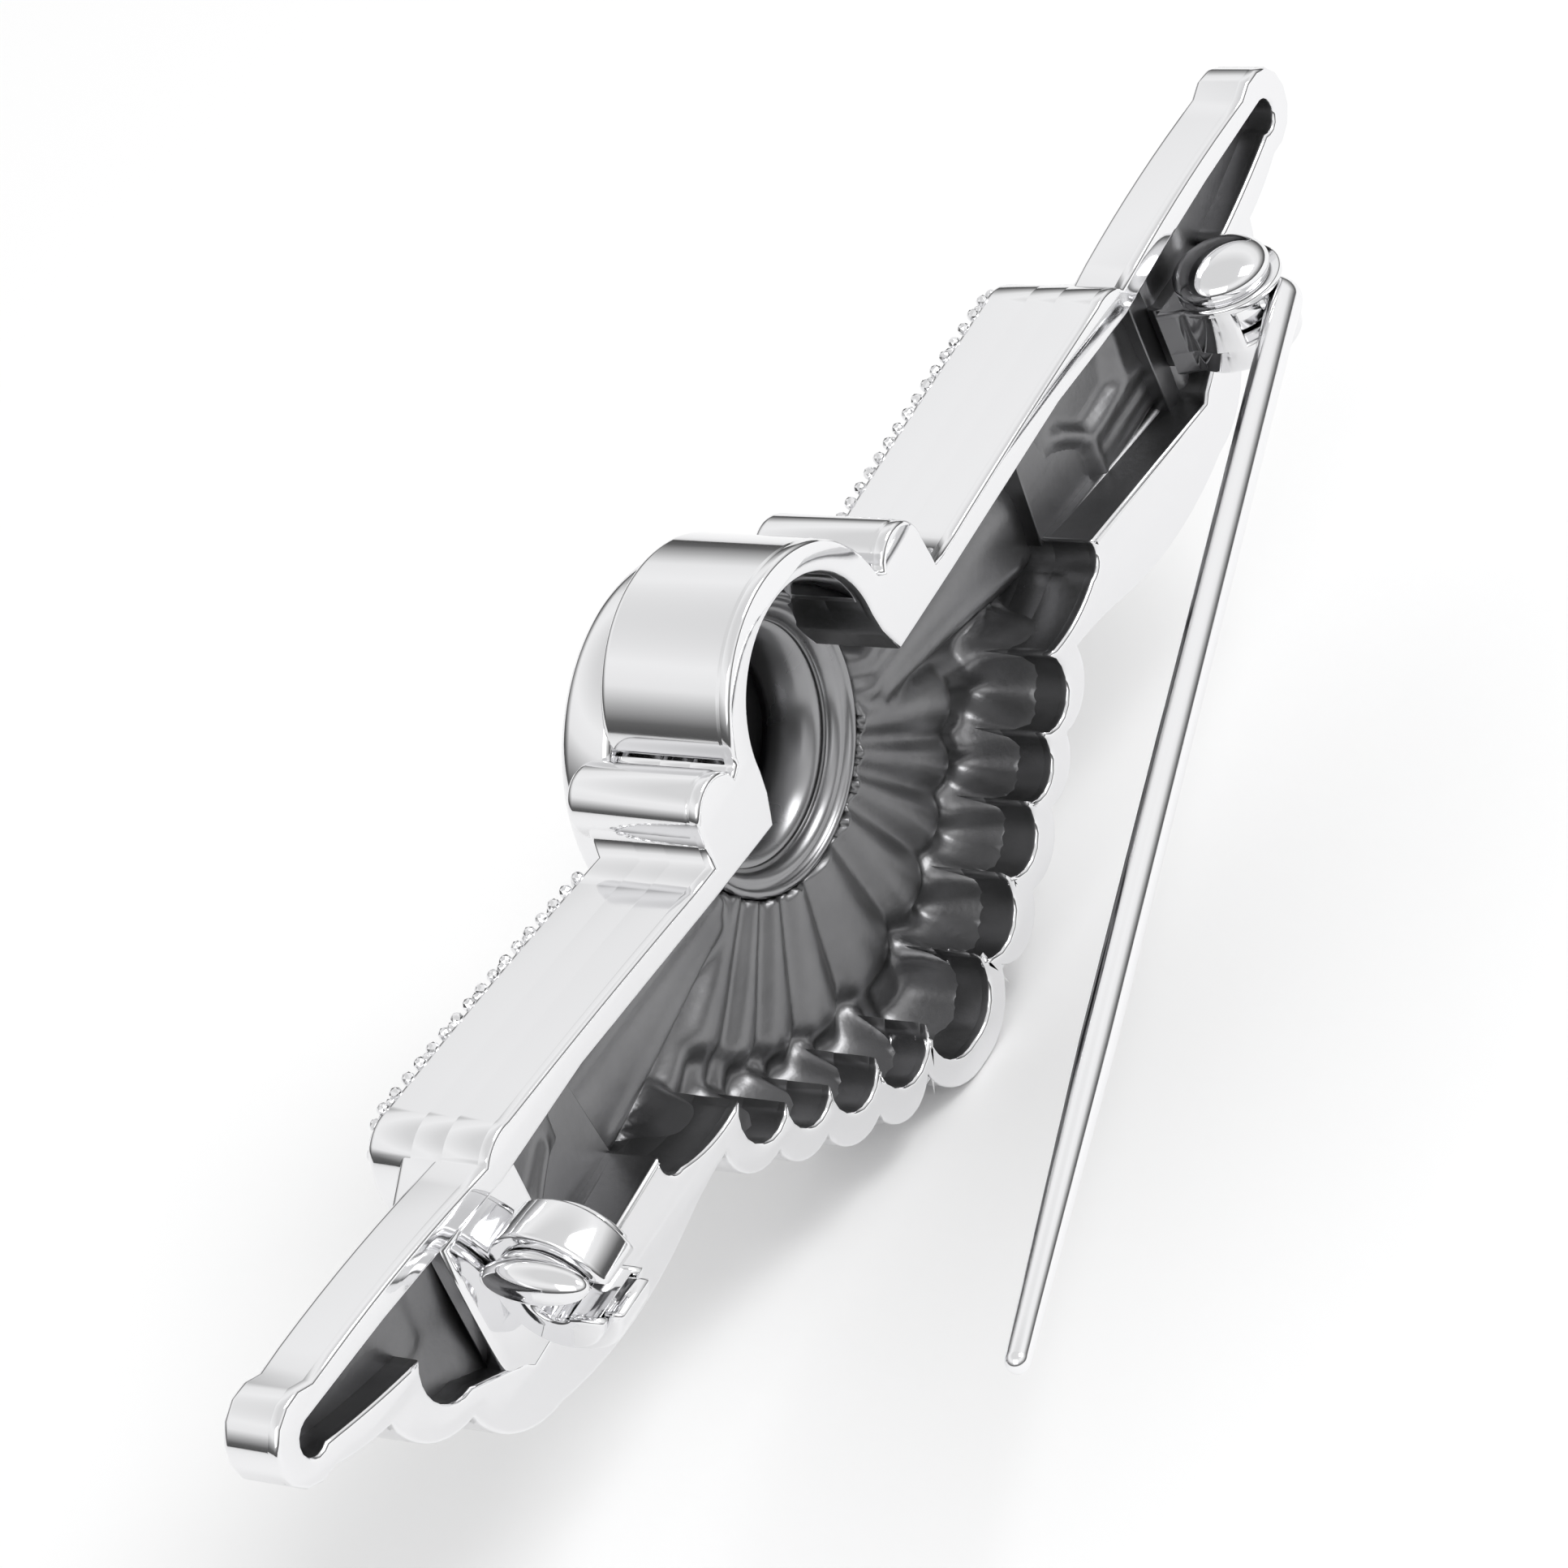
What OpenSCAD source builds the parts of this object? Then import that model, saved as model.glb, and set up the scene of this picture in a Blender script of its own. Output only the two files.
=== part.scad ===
// Pilot wings pin: a hollow-backed cast brooch with a jewelled front,
// a domed medallion in a round collar, a hinged pin stem and a safety catch.
// The brooch stands as worn: +X along the span, +Z up, front towards -Y.
// The origin is the drum's centre on the plane of the back rim.

/* [Wings] */
// Wing tip to wing tip
span = 58.4; // [52:0.2:70.2]
// Drum centre down to the lowest feather
drop = 14.1; // [12:0.1:17]
// Thickness at the wing shoulders, rim to front face
shoulder_t = 4.15; // [3.9:0.05:5.2]
// Thickness of the long feathers beside the centre
mid_t = 3; // [2.6:0.05:3.4]
// Thickness of the outer wing tips
tip_t = 1.9; // [1.6:0.05:2.4]
// Depth of the hollow back at the centre
hollow_d = 3.25; // [2.6:0.05:3.4]
// Depth of the hollow back in the shoulders
shoulder_hollow_d = 1.75; // [1.4:0.05:2.3]
// Depth of the hollow back in the tips
tip_hollow_d = 1; // [0.7:0.05:1.2]
// Height of the feather relief, front and back
feather_h = 0.3; // [0.2:0.05:0.5]

/* [Drum] */
// Outer radius of the drum above the wings
drum_r = 4.2; // [4:0.05:4.4]
// Wall of the drum
drum_wall = 0.9; // [0.7:0.05:1.1]
// Thickness of the drum, rim to front
drum_t = 4.5; // [4.3:0.05:5.4]
// Radius of the upright bars beside the drum
bar_r = 1.05; // [0.95:0.05:1.15]
// Thickness of the bars, rim to front
bar_t = 4.65; // [4.4:0.05:5.4]

/* [Medallion] */
// Height of the medallion's centre, below the drum's centre
medal_z = -2.2; // [-2.6:0.1:-1.8]
// Outer radius of the collar on the front
collar_r = 5.4; // [5:0.1:5.9]
// Height of the collar above the shoulders' front face
collar_h = 1.85; // [1.5:0.05:2.4]
// Radius of the hole in the casting that the collar plugs into
socket_r = 4.35; // [4:0.05:4.6]
// Radius of the dome in the collar
dome_r = 4.4; // [4:0.05:4.6]
// Height of the dome above its girdle
dome_h = 1.5; // [1:0.1:2.2]
// Radius of the open window behind the dome
window_r = 2.8; // [2.2:0.1:3.1]
// Gap between a stone or the dome and its setting
setting_gap = 0.04; // [0.02:0.01:0.08]

/* [Small stones] */
// Number of stones along each leading edge
edge_stones = 8; // [5:1:8]
// Distance from stone to stone
edge_pitch = 1.28; // [1.2:0.01:1.3]
// Radius of a leading-edge stone
edge_stone_r = 0.53; // [0.45:0.01:0.55]
// Radius of the large stone at each shoulder
end_stone_r = 0.95; // [0.7:0.05:1]
// Radius of the grains raised between the stones
grain_r = 0.17; // [0.12:0.01:0.18]

/* [Pin and hinge] */
// Distance of the hinge from the centre, at the nominal span
hinge_x = 22; // [21.8:0.1:22.4]
// Height of the hinge axis behind the rim
hinge_y = 0.9; // [0.8:0.05:1.3]
// Level of the pin, below the drum's centre
pin_z = -3.45; // [-3.6:0.05:-3.3]
// Radius of the hinge barrel
barrel_r = 1.75; // [1.6:0.05:1.9]
// Radius of the rivet through the barrel
rivet_r = 0.52; // [0.4:0.01:0.6]
// Running gap between rivet and pin
rivet_gap = 0.04; // [0.02:0.01:0.08]
// Radius of the pin wire at the hinge
wire_r = 0.5; // [0.42:0.01:0.55]
// Radius of the pin wire at the tip
tip_r = 0.34; // [0.25:0.01:0.38]
// Distance of the wire from the hinge axis
wire_offset = 1.745; // [1.65:0.005:1.85]
// Length of the tapered point
point_len = 12; // [6:0.5:16]
// How far the closed pin reaches past the catch
overreach = 3.8; // [3:0.1:4.5]
// Angle at which the pin stands open
open_angle = 17.8; // [10:0.1:60]

/* [Catch] */
// Distance of the catch from the centre, at the nominal span
catch_x = 19.2; // [18.9:0.1:19.4]
// Height of the catch's axis behind the rim
catch_y = 1.6; // [1.5:0.05:2]
// Outer radius of the catch ring
ring_r = 2.1; // [2:0.05:2.3]
// Wall of the catch ring
ring_wall = 0.62; // [0.5:0.01:0.7]
// Width of the catch ring along the pin
ring_w = 1.5; // [1.2:0.1:1.7]
// Opening that lets the pin into the ring
mouth = 1.1; // [1:0.02:1.2]
// Running gap between ring and turning sleeve
sleeve_gap = 0.04; // [0.02:0.01:0.08]
// Bore radius of the turning sleeve
sleeve_bore = 0.72; // [0.65:0.01:0.78]
// Thickness of the sleeve's flanges
flange_t = 0.3; // [0.25:0.01:0.4]
// Half thickness of the lever
lever_r = 0.6; // [0.45:0.01:0.65]
// Length of the lever
lever_len = 3.5; // [2.8:0.1:3.8]

/* [Hidden] */
$fn = 48;
cut = 1;                        // how far a cutter runs past a face
root_x = 6.5;                   // where the wing starts beside the bar
stretch = (span / 2 - root_x) / (29.2 - root_x);
arc_steps = 8;                  // straight pieces in each outline arc

// --- outline helpers ---------------------------------------------------
// A point of the half outline; the wing stretches with the span, and the
// feathers below the leading edge with the drop.
function along(x) = x <= root_x ? x : root_x + (x - root_x) * stretch;
function down(z) = z >= -2 ? z : -2 + (z + 2) * (drop - 2) / 12.1;
function at(p) = [along(p[0]), down(p[1])];

// Centre of the circle through three points
function centre3(a, b, c) =
    let (d = 2 * (a[0] * (b[1] - c[1]) + b[0] * (c[1] - a[1]) + c[0] * (a[1] - b[1])),
         aa = a * a, bb = b * b, cc = c * c)
    [(aa * (b[1] - c[1]) + bb * (c[1] - a[1]) + cc * (a[1] - b[1])) / d,
     (aa * (c[0] - b[0]) + bb * (a[0] - c[0]) + cc * (b[0] - a[0])) / d];
function turn(a, t) = t > 180 ? turn(a, t - 360) : t < -180 ? turn(a, t + 360) : t;
function heading(p) = atan2(p[1], p[0]);
// Points of the arc from a through b to c, leaving out c
function arc3(a, b, c, n = arc_steps) =
    let (o = centre3(a, b, c), r = norm(a - o), start = heading(a - o),
         first = turn(0, heading(b - o) - start),
         second = turn(0, heading(c - o) - heading(b - o)))
    [for (i = [0:n - 1])
        let (t = start + (first + second) * i / n) o + r * [cos(t), sin(t)]];
// A chain of arcs: every second point is a join, the ones between bulge
function chain(p, n = arc_steps) =
    [for (i = [0:2:len(p) - 3])
        each arc3(at(p[i]), at(p[i + 1]), at(p[i + 2]), n)];
function mirrored(p) = [for (i = [len(p) - 1:-1:0]) [-p[i][0], p[i][1]]];
function both(p) = concat(p, mirrored(p));
function round_part(r, z, from, to, n) =
    [for (i = [0:n]) let (t = from + (to - from) * i / n) [r * sin(t), z + r * cos(t)]];

// --- outlines, right half from the drum down to the lowest feather ------
LEADING = [[6.5, -0.75], [12, -0.3], [17.2, 0], [18.1, -0.06], [18.6, -0.4]];
TIP = [[18.6, -0.4], [22, 0], [27, 0.17], [29.2, -0.7], [27.6, -2.3],
       [26.5, -2.75], [25.4, -3.05], [24.7, -4.5], [22.9, -5.35]];
LONG_FEATHER = [[22.9, -5.35], [22.2, -6.7], [20, -7.75], [17, -8.25], [13.4, -7.9],
                [12, -7.6], [10.7, -7.45]];
CENTRE_FEATHERS = [[10.7, -7.45], [10.2, -8.75], [8.8, -9.15], [8.3, -10.1],
                   [6.9, -10.4], [6.4, -11.35], [4.75, -11.7], [4, -12.7],
                   [2.3, -12.4], [1.6, -13.6], [0, -14.1]];
bar_at = [5.35, 0.35];
inside = 0.15;                  // the slabs stay this far inside the round drum and bars
drum_top = round_part(drum_r - inside, 0, 0, 75, 10);
bar_top = round_part(bar_r - inside, 0, -60, 95, 6);
bar_edge = [for (p = bar_top) bar_at + p];
whole_edge = concat(drum_top, bar_edge, chain(LEADING), chain(TIP),
                    chain(LONG_FEATHER), chain(CENTRE_FEATHERS));
mid_edge = concat(drum_top, bar_edge, chain(LEADING),
                  [at([18.6, -0.4]), at([20.3, -1.6])],
                  chain([[21.2, -3.2], [21.9, -5.2], [20.9, -6.6], [17, -7.85], [12.6, -7.5]]),
                  chain(CENTRE_FEATHERS));
core_edge = concat(drum_top, bar_edge, chain(LEADING),
                   chain([[18.6, -0.4], [18.9, -2.4], [17.6, -4.6], [15, -6.2], [11.4, -6.7]]),
                   chain(CENTRE_FEATHERS));

// --- hollow back ---------------------------------------------------------
drum_in = drum_r - drum_wall;
hollow_drum = round_part(drum_in, 0, 0, 90, 10);
SCALLOPS = [[13, -5.4], [13, -6], [12.4, -6.35], [10.9, -6.75], [9.4, -6.7],
            [9.5, -8.2], [7.8, -8.3], [7.4, -9.6], [6, -9.35],
            [5.5, -10.8], [3.9, -10.25], [3.3, -11.9], [1.5, -11.2],
            [1.1, -12.9], [0, -13.2]];
hollow_centre = concat(hollow_drum, [[3.75, -1.65]], [at([7, -1.5])],
                       [at([13.6, -1.05]), at([14.2, -2.7]), at([13.6, -4.2])],
                       chain(SCALLOPS));
hollow_shoulder = concat(hollow_drum, [[3.75, -1.65]], [at([7, -1.5]), at([14, -1.05])],
                         [at([18.2, -1.1]), at([20.2, -1.9]), at([20.2, -5.9]), at([13.1, -5.4])],
                         chain(SCALLOPS));
hollow_whole = concat(hollow_drum, [[3.75, -1.65]], [at([7, -1.5]), at([14, -1.05])],
                      [at([18.3, -1.2]), at([21.4, -0.85]), at([24, -0.65]), at([27.8, -0.5])],
                      chain([[27.8, -0.5], [28.3, -1], [27.5, -1.5], [25.6, -2.05], [23.6, -2.5],
                             [23.8, -3.7], [22.5, -4.6], [21.6, -5.1], [20.2, -5.9]]),
                      [at([20.2, -6]), at([13.1, -5.4])], chain(SCALLOPS));

// --- places that several pieces share -----------------------------------
hinge_at = [-along(hinge_x), hinge_y, pin_z];
ring_at = [along(catch_x), catch_y, pin_z];
reach = ring_at[0] - hinge_at[0];
pin_len = reach + overreach;
// The hinge angle at which the wire runs through the ring's centre
closed_angle = asin((catch_y - hinge_y - wire_offset) / reach);
eye_t = 2 * wire_r - 0.05;
slot_t = eye_t + 0.15;
cheek_t = 0.3;
foot_depth = tip_hollow_d + 0.2;
eye_r = 1.1;
head_h = 0.72;
// The leg's headings in the slot: from closed to fully open, with room
slot_from = 36;
slot_to = 196;
lug_low = pin_z - slot_t / 2 - 0.9;
lug_high = pin_z + slot_t / 2 + cheek_t;
foot_x = 1.55;
bridge_w = 3.6;
bridge_x = ring_at[0] + 0.2;
bridge_high = -0.9;
bridge_low = down(-6.3);
bridge_t = 0.8;
front_y = -shoulder_t;
seat_d = 0.5;
edge_margin = 0.15;             // metal left outside a stone's girdle
grain_row = 0.52;               // grains stand this far from the line of stones
root_len = 2.6;                 // the wire thins a little beside the hinge
root_extra = 0.05;
back_tier = 7.2;                // the feathers' tips, from the medallion's centre
front_tier = 8.3;
back_feather_w = 1.9;
front_feather_w = 1.5;

// --- building blocks ------------------------------------------------------
// A slab with the given outline, from one depth to another behind the rim
module slab(edge, from, to) {
    translate([0, -from, 0]) rotate([90, 0, 0])
        linear_extrude(to - from) polygon(both(edge));
}

// A disc or hole along Y, from one depth to another
module disc(r, from, to, x = 0, z = 0) {
    translate([x, -from, z]) rotate([90, 0, 0]) cylinder(r = r, h = to - from);
}

// A round-ended feather that points away from the medallion
module feather(angle, from, to, width, depth, height) {
    translate([0, -depth, medal_z]) rotate([0, -angle, 0]) rotate([90, 0, 0]) {
        translate([from, -width / 2, 0]) cube([to - from, width, height]);
        translate([to, 0, 0]) cylinder(r = width / 2, h = height);
    }
}

// A cut stone with a flat table, its girdle at the given place
module cut_stone(r, x, z) {
    translate([x, front_y, z]) rotate([90, 0, 0]) rotate_extrude()
        polygon([[0, -0.75 * r], [r, -0.1 * r], [r, 0.05 * r], [0.6 * r, 0.38 * r], [0, 0.38 * r]]);
}

function stone_x(i) = along(17.4) - end_stone_r - edge_stone_r - edge_margin - i * edge_pitch;
// The leading edge between the shoulder and the bar, then the line of stones
function lead_z(x) = let (t = (along(17.2) - x) / stretch) -0.046 * t - 0.00226 * t * t;
function row_z(x) = lead_z(x) - edge_stone_r - edge_margin;
end_stone_at = [along(17.4), -end_stone_r - edge_margin - 0.05];

module stone_seats(side) {
    for (i = [0:edge_stones - 1])
        disc(edge_stone_r + setting_gap, shoulder_t - seat_d, shoulder_t + cut,
             side * stone_x(i), row_z(stone_x(i)));
    disc(end_stone_r + setting_gap, shoulder_t - 1.6 * seat_d, shoulder_t + cut,
         side * end_stone_at[0], end_stone_at[1]);
}

module grains(side) {
    for (i = [1:edge_stones - 1])
        let (x = stone_x(i) + edge_pitch / 2)
            for (row = [-1, 1])
                translate([side * x, front_y, row_z(x) + row * grain_row])
                    sphere(r = grain_r);
}

module ring_profile(inner, outer, from, to) {
    translate([from, ring_at[1], ring_at[2]]) rotate([0, 90, 0])
        difference() {
            cylinder(r = outer, h = to - from);
            translate([0, 0, -cut]) cylinder(r = inner, h = to - from + 2 * cut);
        }
}

module mouth_cut(from, to) {
    translate([from - cut, ring_at[1], ring_at[2] - mouth / 2])
        cube([to - from + 2 * cut, 2 * ring_r, mouth]);
}

module lug_foot(top) {
    translate([hinge_at[0] - foot_x, -foot_depth, lug_low])
        cube([2 * foot_x, foot_depth + top, lug_high - lug_low]);
}

module bridge_block(top) {
    translate([bridge_x - bridge_w / 2, -bridge_t, bridge_low])
        cube([bridge_w, bridge_t + top, bridge_high - bridge_low]);
}

// --- pieces ---------------------------------------------------------------
module wing_casting() {
    back_feathers = [-71, -57, -44, -32, -19];
    front_feathers = [-80, -66, -52, -38, -25, -12];
    color("silver") difference() {
        union() {
            difference() {
                union() {
                    slab(whole_edge, 0, tip_t);
                    slab(mid_edge, 0, mid_t);
                    slab(core_edge, 0, shoulder_t);
                    disc(drum_r, 0, drum_t);
                    for (side = [-1, 1])
                        disc(bar_r, 0, bar_t, side * bar_at[0], bar_at[1]);
                }
                slab(hollow_whole, -cut, tip_hollow_d);
                slab(hollow_shoulder, -cut, shoulder_hollow_d);
                slab(hollow_centre, -cut, hollow_d);
            }
            for (side = [-1, 1]) {
                grains(side);
                for (a = back_feathers)
                    feather(side > 0 ? a : -180 - a, socket_r, back_tier, back_feather_w,
                            hollow_d - feather_h, feather_h + 0.2);
                for (a = front_feathers)
                    feather(side > 0 ? a : -180 - a, collar_r, front_tier, front_feather_w,
                            shoulder_t - 0.2, feather_h + 0.2);
                // a rib divides the shoulder's hollow into two channels
                translate([side > 0 ? along(14.3) : -along(17.2), -shoulder_hollow_d - 0.1, -3])
                    cube([along(17.2) - along(14.3), 0.5, 0.5]);
            }
            feather(-90, socket_r, back_tier + 0.2, back_feather_w,
                    hollow_d - feather_h, feather_h + 0.2);
            feather(-90, collar_r, front_tier + 0.7, front_feather_w + 0.2,
                    shoulder_t - 0.2, feather_h + 0.2);
        }
        disc(socket_r, hollow_d - feather_h - cut, drum_t + cut, 0, medal_z);
        disc(collar_r + setting_gap, shoulder_t, bar_t + cut, 0, medal_z);
        stone_seats(-1);
        stone_seats(1);
        lug_foot(cut);
        bridge_block(cut);
    }
}

module medallion_collar() {
    plug_r = socket_r - setting_gap;
    seat_r = dome_r + setting_gap;
    back = -hollow_d;
    color("silver") translate([0, 0, medal_z]) rotate([90, 0, 0]) rotate_extrude()
        polygon([[plug_r, -back], [plug_r, shoulder_t], [collar_r, shoulder_t],
                 [collar_r, shoulder_t + collar_h - 0.4], [collar_r - 0.4, shoulder_t + collar_h],
                 [seat_r, shoulder_t + collar_h], [seat_r, shoulder_t + 0.75],
                 [window_r, shoulder_t + 0.75], [window_r, shoulder_t + 0.15],
                 [(window_r + plug_r) / 2, shoulder_t + 0.15], [(window_r + plug_r) / 2, hollow_d + 0.45],
                 [plug_r - 0.35, hollow_d + 0.45], [plug_r - 0.35, hollow_d]]);
}

module medallion_dome() {
    base = shoulder_t + 0.75;
    girdle = base + 0.6;
    ball_r = (dome_r * dome_r + dome_h * dome_h) / (2 * dome_h);
    edge_a = asin(dome_r / ball_r);
    dome = [for (i = [0:10]) let (t = edge_a * (1 - i / 10))
        [ball_r * sin(t), girdle + dome_h - ball_r * (1 - cos(t))]];
    color([0.06, 0.06, 0.07]) translate([0, 0, medal_z]) rotate([90, 0, 0]) rotate_extrude()
        polygon(concat([[0, base], [dome_r, base]], dome));
}

module edge_stones_of(side) {
    color([0.85, 0.9, 0.95]) for (i = [0:edge_stones - 1])
        cut_stone(edge_stone_r, side * stone_x(i), row_z(stone_x(i)));
}

module shoulder_stone_of(side) {
    color([0.85, 0.9, 0.95])
        cut_stone(end_stone_r, side * end_stone_at[0], end_stone_at[1]);
}

module left_edge_stones() { edge_stones_of(-1); }
module right_edge_stones() { edge_stones_of(1); }
module left_shoulder_stone() { shoulder_stone_of(-1); }
module right_shoulder_stone() { shoulder_stone_of(1); }

module hinge_lug() {
    color("gainsboro") difference() {
        union() {
            lug_foot(0);
            translate([hinge_at[0], hinge_y, lug_low])
                cylinder(r = barrel_r, h = lug_high - lug_low);
        }
        // the slot in which the pin's eye turns
        translate([hinge_at[0], hinge_y, pin_z - slot_t / 2]) {
            cylinder(r = eye_r + 0.1, h = slot_t);
            linear_extrude(slot_t)
                polygon([[0, 0], for (t = [slot_from:(slot_to - slot_from) / 4:slot_to])
                    2 * barrel_r * [cos(t), sin(t)]]);
        }
        translate([hinge_at[0], hinge_y, lug_low - cut])
            cylinder(r = rivet_r, h = lug_high - lug_low + 2 * cut);
    }
}

module hinge_rivet() {
    head_r = barrel_r - 0.25;
    head_lift = 0.25;
    color("white") translate([hinge_at[0], hinge_y, 0]) {
        translate([0, 0, lug_low - 0.15]) cylinder(r = rivet_r, h = lug_high - lug_low + 0.15);
        translate([0, 0, lug_low - 0.3]) cylinder(r1 = 0.6, r2 = 0.85, h = 0.3);
        translate([0, 0, lug_high]) rotate_extrude()
            polygon([for (i = [0:10]) let (t = -20 + 110 * i / 10)
                [head_r * cos(t), max(0, head_lift + head_h * sin(t))], [0, 0]]);
    }
}

module pin_stem() {
    straight = pin_len - point_len;
    color("whitesmoke") translate(hinge_at) rotate([0, 0, open_angle]) {
        difference() {
            union() {
                translate([0, 0, -eye_t / 2]) cylinder(r = eye_r, h = eye_t);
                rotate([-90, 0, 0]) cylinder(r = eye_t / 2, h = wire_offset);
            }
            translate([0, 0, -2]) cylinder(r = rivet_r + rivet_gap, h = 4);
        }
        translate([0, wire_offset, 0]) {
            sphere(r = wire_r + root_extra);
            rotate([0, 90, 0]) cylinder(r1 = wire_r + root_extra, r2 = wire_r, h = root_len);
            translate([root_len, 0, 0]) rotate([0, 90, 0])
                cylinder(r = wire_r, h = straight - root_len);
            translate([straight, 0, 0]) rotate([0, 90, 0])
                cylinder(r1 = wire_r, r2 = tip_r, h = point_len - tip_r);
            translate([pin_len - tip_r, 0, 0]) sphere(r = tip_r);
        }
    }
}

module catch_bridge() {
    color("gainsboro") difference() {
        bridge_block(0);
        translate([ring_at[0] - ring_w / 2, ring_at[1], ring_at[2]]) rotate([0, 90, 0])
            translate([0, 0, -2 * cut]) cylinder(r = ring_r, h = ring_w + 4 * cut);
    }
}

module catch_ring() {
    low = ring_at[0] - ring_w / 2;
    high = ring_at[0] + ring_w / 2;
    color("silver") difference() {
        ring_profile(ring_r - ring_wall, ring_r, low, high);
        mouth_cut(low, high);
    }
}

module catch_sleeve() {
    outer = ring_r - ring_wall - sleeve_gap;
    low = ring_at[0] - ring_w / 2 - sleeve_gap;
    high = ring_at[0] + ring_w / 2 + sleeve_gap;
    color("white") difference() {
        union() {
            ring_profile(sleeve_bore, outer, low - flange_t, high + flange_t);
            ring_profile(sleeve_bore, outer + 0.25, low - flange_t, low);
            ring_profile(sleeve_bore, outer + 0.25, high, high + flange_t);
        }
        mouth_cut(low - flange_t, high + flange_t);
    }
}

module sleeve_lever() {
    face = ring_at[0] + ring_w / 2 + sleeve_gap + flange_t;
    egg = [for (i = [0:12]) let (t = 180 * i / 12) [lever_r * sin(t), -lever_len / 2 * cos(t)]];
    color("white") difference() {
        translate([face + 0.8 * lever_r, ring_at[1] + 0.5, ring_at[2] + sleeve_bore + lever_r])
            rotate([-90, 0, 0]) rotate_extrude() polygon(egg);
        translate([face - 2, -5, -10]) cube([2, 20, 20]);
    }
}

wing_casting();
medallion_collar();
medallion_dome();
left_edge_stones();
right_edge_stones();
left_shoulder_stone();
right_shoulder_stone();
hinge_lug();
hinge_rivet();
pin_stem();
catch_bridge();
catch_ring();
catch_sleeve();
sleeve_lever();
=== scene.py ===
# %% [markdown]
# # A pair of pilot's wings, seen from the back
# This lesson dresses a cast silver brooch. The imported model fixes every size
# and every moving part. Here each piece gets rounded edges, relief and a
# finish, and nothing is moved.

# %% Load the frame
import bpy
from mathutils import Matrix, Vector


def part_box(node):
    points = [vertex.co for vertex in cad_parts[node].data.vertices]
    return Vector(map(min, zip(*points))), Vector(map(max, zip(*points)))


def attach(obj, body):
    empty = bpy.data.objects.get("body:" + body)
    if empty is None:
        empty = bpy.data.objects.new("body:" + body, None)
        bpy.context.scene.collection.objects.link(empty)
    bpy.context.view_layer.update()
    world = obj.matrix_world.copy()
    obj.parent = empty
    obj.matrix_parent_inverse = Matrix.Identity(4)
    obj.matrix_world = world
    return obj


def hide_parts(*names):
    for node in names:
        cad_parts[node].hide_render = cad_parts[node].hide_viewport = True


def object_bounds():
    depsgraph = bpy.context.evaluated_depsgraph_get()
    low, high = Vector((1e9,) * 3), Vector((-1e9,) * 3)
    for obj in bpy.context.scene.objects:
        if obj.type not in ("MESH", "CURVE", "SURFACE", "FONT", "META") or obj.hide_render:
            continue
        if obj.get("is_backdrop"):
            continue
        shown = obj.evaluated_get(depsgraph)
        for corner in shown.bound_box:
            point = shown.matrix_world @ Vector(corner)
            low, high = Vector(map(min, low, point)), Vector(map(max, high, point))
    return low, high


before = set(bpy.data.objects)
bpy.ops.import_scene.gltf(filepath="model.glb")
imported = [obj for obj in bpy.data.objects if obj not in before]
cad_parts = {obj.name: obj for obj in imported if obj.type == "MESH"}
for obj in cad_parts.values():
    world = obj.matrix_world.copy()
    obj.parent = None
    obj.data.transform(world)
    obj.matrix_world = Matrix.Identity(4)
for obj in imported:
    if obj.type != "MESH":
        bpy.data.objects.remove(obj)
cad_low, cad_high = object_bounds()
print("CAD box, metres:", [round(v, 4) for v in (*cad_low, *cad_high)])

# %% [markdown]
# Everything below is drawn in millimetres and turned into metres as the
# meshes are made, because a brooch is easier to think about that way.

# %% Tools of the lesson
import math

import bmesh
import bpy
import numpy as np
from mathutils import Matrix, Vector
from mathutils.bvhtree import BVHTree

MM = 0.001


def box_mm(node):
    low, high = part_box(node)
    return np.array(low) / MM, np.array(high) / MM


def mesh_piece(name, points, faces, materials):
    mesh = bpy.data.meshes.new(name)
    mesh.from_pydata([tuple(np.asarray(p) * MM) for p in points], [], faces)
    for material in materials:
        mesh.materials.append(material)
    mesh.validate()
    bm = bmesh.new()
    bm.from_mesh(mesh)
    bmesh.ops.recalc_face_normals(bm, faces=bm.faces)
    bm.to_mesh(mesh)
    bm.free()
    piece = bpy.data.objects.new(name, mesh)
    bpy.context.scene.collection.objects.link(piece)
    return piece


# %% [markdown]
# Two tools finish a piece. One applies its modifiers and leaves a plain mesh.
# The other shades it smoothly and keeps its flat faces flat.

# %% Settle and smooth
def settle(piece):
    """Applies the piece's modifiers and leaves a plain mesh."""
    graph = bpy.context.evaluated_depsgraph_get()
    graph.update()
    mesh = bpy.data.meshes.new_from_object(piece.evaluated_get(graph))
    piece.modifiers.clear()
    piece.data = mesh
    return piece


def smooth(piece, keep_sharp=True):
    """Shades a piece smoothly, with its flats kept flat."""
    for face in piece.data.polygons:
        face.use_smooth = True
    weighted = piece.modifiers.new("flat faces stay flat", "WEIGHTED_NORMAL")
    weighted.keep_sharp = keep_sharp
    return settle(piece)


# %% [markdown]
# Plain meshes are joined into one piece, and each piece then rides a body of
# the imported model, so that it moves when the pin or the catch does.

# %% Join and hand over
def join(name, pieces):
    """Makes one object of several plain meshes."""
    materials = []
    bm = bmesh.new()
    for piece in pieces:
        start = len(bm.faces)
        bm.from_mesh(piece.data)
        bm.faces.ensure_lookup_table()
        own = list(piece.data.materials)
        materials += [m for m in own if m not in materials]
        for face in bm.faces[start:]:
            face.material_index = materials.index(own[face.material_index])
    mesh = bpy.data.meshes.new(name)
    bm.to_mesh(mesh)
    bm.free()
    for material in materials:
        mesh.materials.append(material)
    for piece in pieces:
        bpy.data.objects.remove(piece)
    joined = bpy.data.objects.new(name, mesh)
    bpy.context.scene.collection.objects.link(joined)
    return joined


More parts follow.
